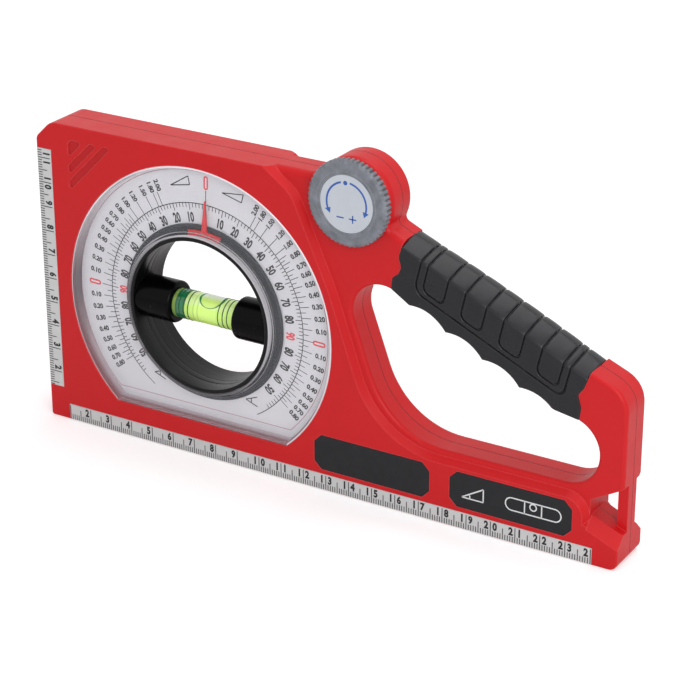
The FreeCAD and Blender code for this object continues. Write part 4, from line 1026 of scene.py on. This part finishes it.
def bubble_material():
    """The bubble's skin. The UV map holds the distance from its middle and the turn towards the front.

    The inside goes from a pale grey at the back to a light green at the front; the rim is dark green,
    broad at the left end and fine along the front.
    """
    material, tree, shader = new_material("bubble_skin")
    map_axes = axes_of(tree, tree.nodes.new("ShaderNodeUVMap").outputs["UV"])
    front = map_axes["Y"]
    wobble = maths(tree, "MULTIPLY_ADD", noise(tree, object_place(tree), 700.0, 2.0), 0.08, -0.04)
    reach = maths(tree, "ADD", map_axes["X"], wobble)
    lower = maths(tree, "MAXIMUM", maths(tree, "MULTIPLY_ADD", front, 1.7, 0.35), 0.0)
    inside = blended(tree, maths(tree, "SMOOTH_MIN", lower, 1.0, 0.2), srgb(224, 228, 226),
                     srgb(212, 238, 132))
    start = maths(tree, "MULTIPLY_ADD", maths(tree, "ABSOLUTE", front), 0.16, 0.76)
    rim = held(tree, maths(tree, "MULTIPLY", maths(tree, "SUBTRACT", reach, start), 14.0))
    shown = blended(tree, rim, inside, srgb(24, 122, 72))
    tree.links.new(shown, shader.inputs["Base Color"])
    # A faint painted glow of the bubble's own colours.
    tree.links.new(shown, shader.inputs["Emission Color"])
    shader.inputs["Emission Strength"].default_value = 0.12
    shader.inputs["Roughness"].default_value = 0.15
    return material


def vial_bubble(body="vial_rotor"):
    """A lens on the spirit's surface: an ellipse in length and angle, domed by a parabola over its middle."""
    rings, spokes = 24, 72
    share = np.linspace(0, 1, rings)[:, None]
    round_angle = np.linspace(0, 2 * math.pi, spokes, endpoint=False)[None, :]
    length = bubble_middle + bubble_half * share * np.cos(round_angle)
    lean = bubble_spread * share * np.sin(round_angle)
    radius = vial_bore + 0.04 * mm + 0.1 * mm * (1 - share ** 2)
    points = np.stack([dial_x + length, vial_y - radius * np.sin(lean), vial_z + radius * np.cos(lean)],
                      axis=-1)
    faces = grid_faces(rings, spokes, close_columns=True)
    piece = make_piece("vial_bubble", points, faces, body, bubble_material(), closed=False)
    uv = piece.data.uv_layers.new(name="rim_distance")
    corner = read_rows(piece.data.loops, "vertex_index", 1, int).ravel()
    reach = np.repeat(share, spokes, axis=1).ravel()[corner]
    front = (share * np.sin(round_angle)).ravel()[corner]
    uv.data.foreach_set("uv", np.stack([reach, front], axis=-1).ravel())


# ---- grip ---------------------------------------------------------------------------------
# Lengths of the grip are in millimetres, along it from the knob's axis or under its top line.
grip_slope = math.radians(24.7)
axis_drop = 1.6
grip_start = 23.6
grip_end_margin = 16.2
start_wave = [(-0.3, 0.0), (6.8, 1.0), (9.6, 3.5), (12.6, 3.7), (15.4, 2.2), (19.8, 3.6)]
end_wave = [(-1.5, 0.0), (6.4, 0.6), (9.9, -0.1), (13.7, 3.2), (18.4, 4.6)]
first_cusp = grip_start + 12.4
finger_pitch = 16.55
finger_dip = 2.2
finger_fall = 0.32
cusp_depth = 21.0
panel_starts = (36.1, 52.9, 69.7, 86.5)
panel_width = 9.1
panel_depth = 12.5
panel_corner = 2.4
frame_start = 33.0           # the groove that frames the panels
frame_end = 98.6
frame_depth = 14.6
frame_corner = 3.6
groove_half = 0.5
groove_depth = 1.0
shoulder_depth = 0.24        # the soft shoulders beside a groove
shoulder_reach = 1.1
groove_fade = 0.5            # the grooves fade out this near the seam
groove_floor = cusp_depth - 4
foot_round = 0.8
crease_round = 0.9
end_round = 0.5
seam_sink = 0.22             # how far the rubber sinks at the seam, and just beside it
beside_seam_sink = 0.06
wall_sink = 1.6              # how far the outermost rows turn inwards


def off_grip(along, under):
    """Points (x, z) in metres from places along the grip and under its top line, from the knob's axis."""
    run = np.array([math.cos(grip_slope), -math.sin(grip_slope)])
    drop = np.array([-math.sin(grip_slope), -math.cos(grip_slope)])
    start = np.array([knob_x, knob_z]) + axis_drop * mm * drop
    return start + (along[..., None] * run + under[..., None] * drop) * mm


def grip_length_end():
    """Where the grip's far end lies along it, reckoned from the right side."""
    start_x = knob_x / mm - axis_drop * math.sin(grip_slope)
    return (right_x / mm - start_x) / math.cos(grip_slope) - grip_end_margin


def crown_line(along, end):
    """The arched top: the parabola through its heights at the start, the middle and the end."""
    at_start, at_middle, at_end = 0.3, 2.05, 1.5
    share = (along - grip_start) / (end - grip_start)
    return -(at_start * (1 - share) * (1 - 2 * share) + at_middle * 4 * share * (1 - share)
             + at_end * share * (2 * share - 1))


def finger_line(along, end):
    """The lower edge: the outline's straight runs, or where they lie deeper, parabolas between the cusps."""
    runs_along = [grip_start + 3.6, first_cusp, first_cusp + 3 * finger_pitch, end - 4.7, end + 4.6]
    straight = np.interp(along, runs_along, [19.8, cusp_depth, cusp_depth + 3 * finger_fall, 20.9, 18.4])
    number = (along - first_cusp) / finger_pitch
    part = number - np.floor(number)
    scallop = cusp_depth + finger_fall * number - finger_dip * 4 * part * (1 - part)
    return np.where(number > 0, np.minimum(straight, scallop), straight)


def wavy(under, wave):
    """The wavy end, its straight runs blended by a mean over a millimetre and a half."""
    depths, places = zip(*wave)
    shifts = np.linspace(-0.75, 0.75, 7)
    return np.mean([np.interp(under + shift, depths, places) for shift in shifts], axis=0)


def panel_distance(along, under, start, end, depth, corner):
    """Distance to the outline of a strip that is open above and closed by a rounded end below."""
    lean = along - 0.2 * np.maximum(under - 2.5, 0)
    beside = np.abs(lean - (start + end) / 2) - ((end - start) / 2 - corner)
    beyond = under - (depth - corner)
    outside = np.hypot(np.maximum(beside, 0), np.maximum(beyond, 0))
    return np.abs(outside + np.minimum(np.maximum(beside, beyond), 0) - corner)


def groove_profile(distance):
    """A round-bottomed groove: the cosine of the distance over its half width, and a soft shoulder."""
    inside = np.clip(distance / groove_half, 0, 1)
    shoulder = shoulder_depth * np.exp(-distance / shoulder_reach)
    return groove_depth * 0.5 * (1 + np.cos(math.pi * inside)) + shoulder


def grip_half(name, node, face_y, bevel, arch_power, material):
    """Half of the grip: each section runs from the seam over the arch, down the face and back below.

    The arch falls with a power of the way out, from the crown to the bevel's depth under the top
    line; a smooth minimum with the plane of the face rounds the crease between them. A point lies
    at a share of the way between the wavy ends, and the grooves sink it along the section's
    normal. The last rows and columns turn inwards, to close the wall.
    """
    end = grip_length_end()
    near_end = np.array([0.0, 0.0, 0.0006, 0.0018, 0.0036])
    share = np.concatenate([near_end, np.linspace(0.006, 0.994, 380), 1 - near_end[::-1]])[None, :]
    towards = -1.0 if face_y < seam_y / mm else 1.0
    depth = abs(face_y - seam_y / mm)
    top = crown_line(grip_start + share * (end - grip_start), end)
    low_start = grip_start + start_wave[-1][1]
    low = finger_line(low_start + share * (end + end_wave[-1][1] - low_start), end)
    even = np.ones_like(share)

    way = np.concatenate([[0.0, 0.0, 0.012, 0.03], np.linspace(0.06, 1.12, 26)])[:, None] * even
    beside = (way - 1) * depth
    near = np.clip(1 - np.abs(beside) / crease_round, 0, 1)
    arch_out = depth + np.minimum(beside, 0) - crease_round / 4 * near ** 2
    arch_under = top + (bevel - top) * way ** arch_power
    slope_out = np.clip(0.5 - beside / crease_round / 2, 0, 1) * depth
    slope_under = arch_power * (bevel - top) * way ** (arch_power - 1)
    steep = np.hypot(slope_out, slope_under)

    down = np.linspace(0, 1, 72)[1:, None] * even
    face_under = arch_under[-1] + down * (low - foot_round - arch_under[-1])
    turn = np.linspace(0, math.pi / 2, 8)[1:-1, None] * even
    back = np.concatenate([np.linspace(1, 0.06, 10), [0.03, 0.012, 0.0, 0.0]])[:, None] * even
    out = np.concatenate([arch_out, depth + 0 * down, depth - foot_round * (1 - np.cos(turn)),
                          back * (depth - foot_round)])
    under = np.concatenate([arch_under, face_under, low - foot_round * (1 - np.sin(turn)), low + 0 * back])
    normal_out = np.concatenate([slope_under / steep, 1 + 0 * down, np.cos(turn), 0 * back])
    normal_up = np.concatenate([slope_out / steep, 0 * down, -np.sin(turn), -1 + 0 * back])

    left, right = grip_start + wavy(under, start_wave), end + wavy(under, end_wave)
    along = left + share * (right - left)
    groove = panel_distance(along, under, frame_start, frame_end, frame_depth, frame_corner)
    for start in panel_starts:
        panel = panel_distance(along, under, start, start + panel_width, panel_depth, panel_corner)
        groove = np.minimum(groove, panel)
    sink = groove_profile(groove) * np.clip(out / groove_fade, 0, 1) * (under < groove_floor)
    edge = np.minimum(along - left, right - along)
    sink = sink + end_round - np.sqrt(end_round ** 2 - np.clip(end_round - edge, 0, end_round) ** 2)
    sink = sink + np.where(out < 1e-9, seam_sink, np.where(out < 0.2, beside_seam_sink, 0.0))
    sink[:, [0, -1]] = wall_sink
    sink[[0, -1], :] = wall_sink
    places = off_grip(along, under + normal_up * sink)
    y = seam_y + towards * (out - normal_out * sink) * mm
    points = np.stack([places[..., 0], y, places[..., 1]], axis=-1)
    faces = grid_faces(*points.shape[:2])
    if towards > 0:
        faces = faces[:, ::-1]
    piece = make_piece(name, points, faces, "housing", material, closed=False)
    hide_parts(node)


# ---- badges -------------------------------------------------------------------------------
def badge_marks(body="housing"):
    """Plain signs on the right badge: a wedge with its angle, and a level vial with a bubble."""
    low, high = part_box("badge_right")
    middle = (low.z + high.z) / 2
    stroke = 0.5 * mm
    wedge_x = low.x + 9.5 * mm
    wedge = np.array([[-4.4, -2.6], [4.4, -2.6], [4.4, 2.6], [-4.4, -2.6]]) * mm + [wedge_x, middle]
    shapes = [strokes(wedge, stroke)]
    shapes.append(arc_bars(3.4 * mm, stroke, math.radians(62), math.radians(90), 8, wedge[0]))
    vial_x = low.x + 34.0 * mm
    half, rise = 8.6 * mm, 2.5 * mm
    for side in (-1, 1):
        level, line_x = middle + side * rise, vial_x + side * 3.4 * mm
        turn = math.radians(90 - 90 * side)
        shapes.append(bars([vial_x - half, level], [vial_x + half, level], stroke))
        shapes.append(arc_bars(rise, stroke, turn, turn + math.pi, 16, (vial_x + side * half, middle)))
        shapes.append(bars([line_x, middle - rise], [line_x, middle + rise], stroke))
    shapes.append(arc_bars(1.3 * mm, stroke, 0.0, 2 * math.pi, 24, (vial_x, middle + 0.8 * mm)))
    print_on("badge_signs", np.concatenate(shapes), low.y - print_lift, body, white_ink)


# ---- finishes of the solids that stay -----------------------------------------------------
node_materials = {
    "front_housing": red_shell, "rear_housing": red_shell, "housing_screws": steel, "knob_screw": steel,
    "idler_pin": steel, "dial_plate": dial_sheet, "dial_cover": cover_acrylic, "pointer": red_needle,
    "rear_ring": rear_ring_plastic, "vial_socket_left": socket_plastic, "vial_socket_right": socket_plastic,
    "vial_lines": line_ink, "idler_gear": gear_nylon, "drive_pinion": gear_nylon, "knob_label": label_film,
    "friction_ring": felt, "magnets": magnet_plating, "base_ruler": ruler_film, "end_ruler": ruler_film,
    "badge_left": badge_plastic, "badge_right": badge_plastic, "front_ring": black_plastic,
    "front_grip": grip_rubber, "rear_grip": grip_rubber, "knob": knob_plastic, "vial_tube": vial_acrylic,
    "vial_plug": green_plug, "vial_liquid": spirit,
}


def dress_solids():
    """Each solid of the frame gets its finish in every material slot."""
    for name, material in node_materials.items():
        mesh = frame["nodes"][name].data
        if not mesh.materials:
            mesh.materials.append(material)
        for place in range(len(mesh.materials)):
            mesh.materials[place] = material


# ---- stage --------------------------------------------------------------------------------
def floor():
    """A pale floor, wide enough for every view, that keeps the shadow and looks white to the camera."""
    half = 6.0
    drop = 0.05 * mm
    points = np.array([[-half, -half, 0], [half, -half, 0], [half, half, 0], [-half, half, 0]]) - [0, 0, drop]
    material, tree, shader = new_material("pale_floor")
    clouds = noise(tree, object_place(tree), 3.0, 2.0)
    tone = blended(tree, clouds, (0.86, 0.86, 0.87, 1), (0.88, 0.88, 0.89, 1))
    tree.links.new(tone, shader.inputs["Base Color"])
    shader.inputs["Roughness"].default_value = 0.9
    shader.inputs["Specular IOR Level"].default_value = 0.1
    white = tree.nodes.new("ShaderNodeEmission")
    white.inputs["Color"].default_value = (1, 1, 1, 1)
    rays = tree.nodes.new("ShaderNodeLightPath")
    seen = maths(tree, "MAXIMUM", rays.outputs["Is Camera Ray"], rays.outputs["Is Transmission Ray"])
    lift = maths(tree, "MULTIPLY", seen, 0.34)
    tree.links.new(lift, white.inputs["Strength"])
    both = tree.nodes.new("ShaderNodeAddShader")
    tree.links.new(shader.outputs["BSDF"], both.inputs[0])
    tree.links.new(white.outputs["Emission"], both.inputs[1])
    tree.links.new(both.outputs["Shader"], tree.nodes["Material Output"].inputs["Surface"])
    mesh = bpy.data.meshes.new("floor")
    mesh.from_pydata(points.tolist(), [], [(0, 1, 2, 3)])
    mesh.materials.append(material)
    ground = new_object("floor", mesh)


def sky():
    """Even light all round; rays from the camera, gloss and clear pieces see plain white."""
    world = bpy.data.worlds.new("studio")
    bpy.context.scene.world = world
    world.use_nodes = True
    tree = world.node_tree
    tree.nodes.clear()
    light = tree.nodes.new("ShaderNodeBackground")
    light.inputs["Color"].default_value = (1.0, 1.0, 1.0, 1)
    light.inputs["Strength"].default_value = 0.55
    white = tree.nodes.new("ShaderNodeBackground")
    white.inputs["Color"].default_value = (1, 1, 1, 1)
    rays = tree.nodes.new("ShaderNodeLightPath")
    seen = maths(tree, "MAXIMUM", rays.outputs["Is Camera Ray"], rays.outputs["Is Glossy Ray"])
    seen = maths(tree, "MAXIMUM", seen, rays.outputs["Is Transmission Ray"])
    mix = tree.nodes.new("ShaderNodeMixShader")
    tree.links.new(seen, mix.inputs["Fac"])
    tree.links.new(light.outputs["Background"], mix.inputs[1])
    tree.links.new(white.outputs["Background"], mix.inputs[2])
    result = tree.nodes.new("ShaderNodeOutputWorld")
    tree.links.new(mix.outputs["Shader"], result.inputs["Surface"])


def softbox(name, place, aim, size, power):
    """A square soft lamp that faces a point."""
    lamp = bpy.data.lights.new(name, "AREA")
    lamp.shape = "SQUARE"
    lamp.size = size
    lamp.energy = power
    holder = new_object(name, lamp)
    holder.location = place
    holder.rotation_euler = (Vector(aim) - Vector(place)).to_track_quat("-Z", "Y").to_euler()


def camera():
    """The camera at its place, looking ahead with its right side along camera_right."""
    lens = bpy.data.cameras.new("camera")
    lens.lens = camera_lens
    lens.sensor_width = 36.0
    lens.clip_start = 0.01
    lens.clip_end = 50.0
    holder = new_object("camera", lens)
    up = camera_right.cross(camera_ahead).normalized()
    back = -camera_ahead.normalized()
    axes = Matrix((up.cross(back), up, back)).transposed()
    holder.matrix_world = Matrix.Translation(camera_place) @ axes.to_4x4()
    bpy.context.scene.camera = holder


camera()
sky()
floor()
softbox("front_softbox", place=(0.66, -0.72, 0.56), aim=(0.02, 0, 0.06), size=0.6, power=4.6)
softbox("top_softbox", place=(0.2, 0.25, 1.5), aim=(0, 0, 0.06), size=1.2, power=8.0)
bpy.context.scene.view_settings.view_transform = "Standard"

dress_solids()
dial_scale()
dial_border()
dial_figures()
dial_symbols()
base_scale()
end_scale()
knob_shape()
knob_marks()
front_sleeve()
ring_flange()
cover_piece()
vial_pieces()
vial_bubble()
grip_half("front_grip_rubber", "front_grip", face_y=-7.65, bevel=2.6, arch_power=1.5, material=grip_rubber)
grip_half("rear_grip_rubber", "rear_grip", face_y=8.4, bevel=2.6, arch_power=3.0, material=grip_rubber)
badge_marks()
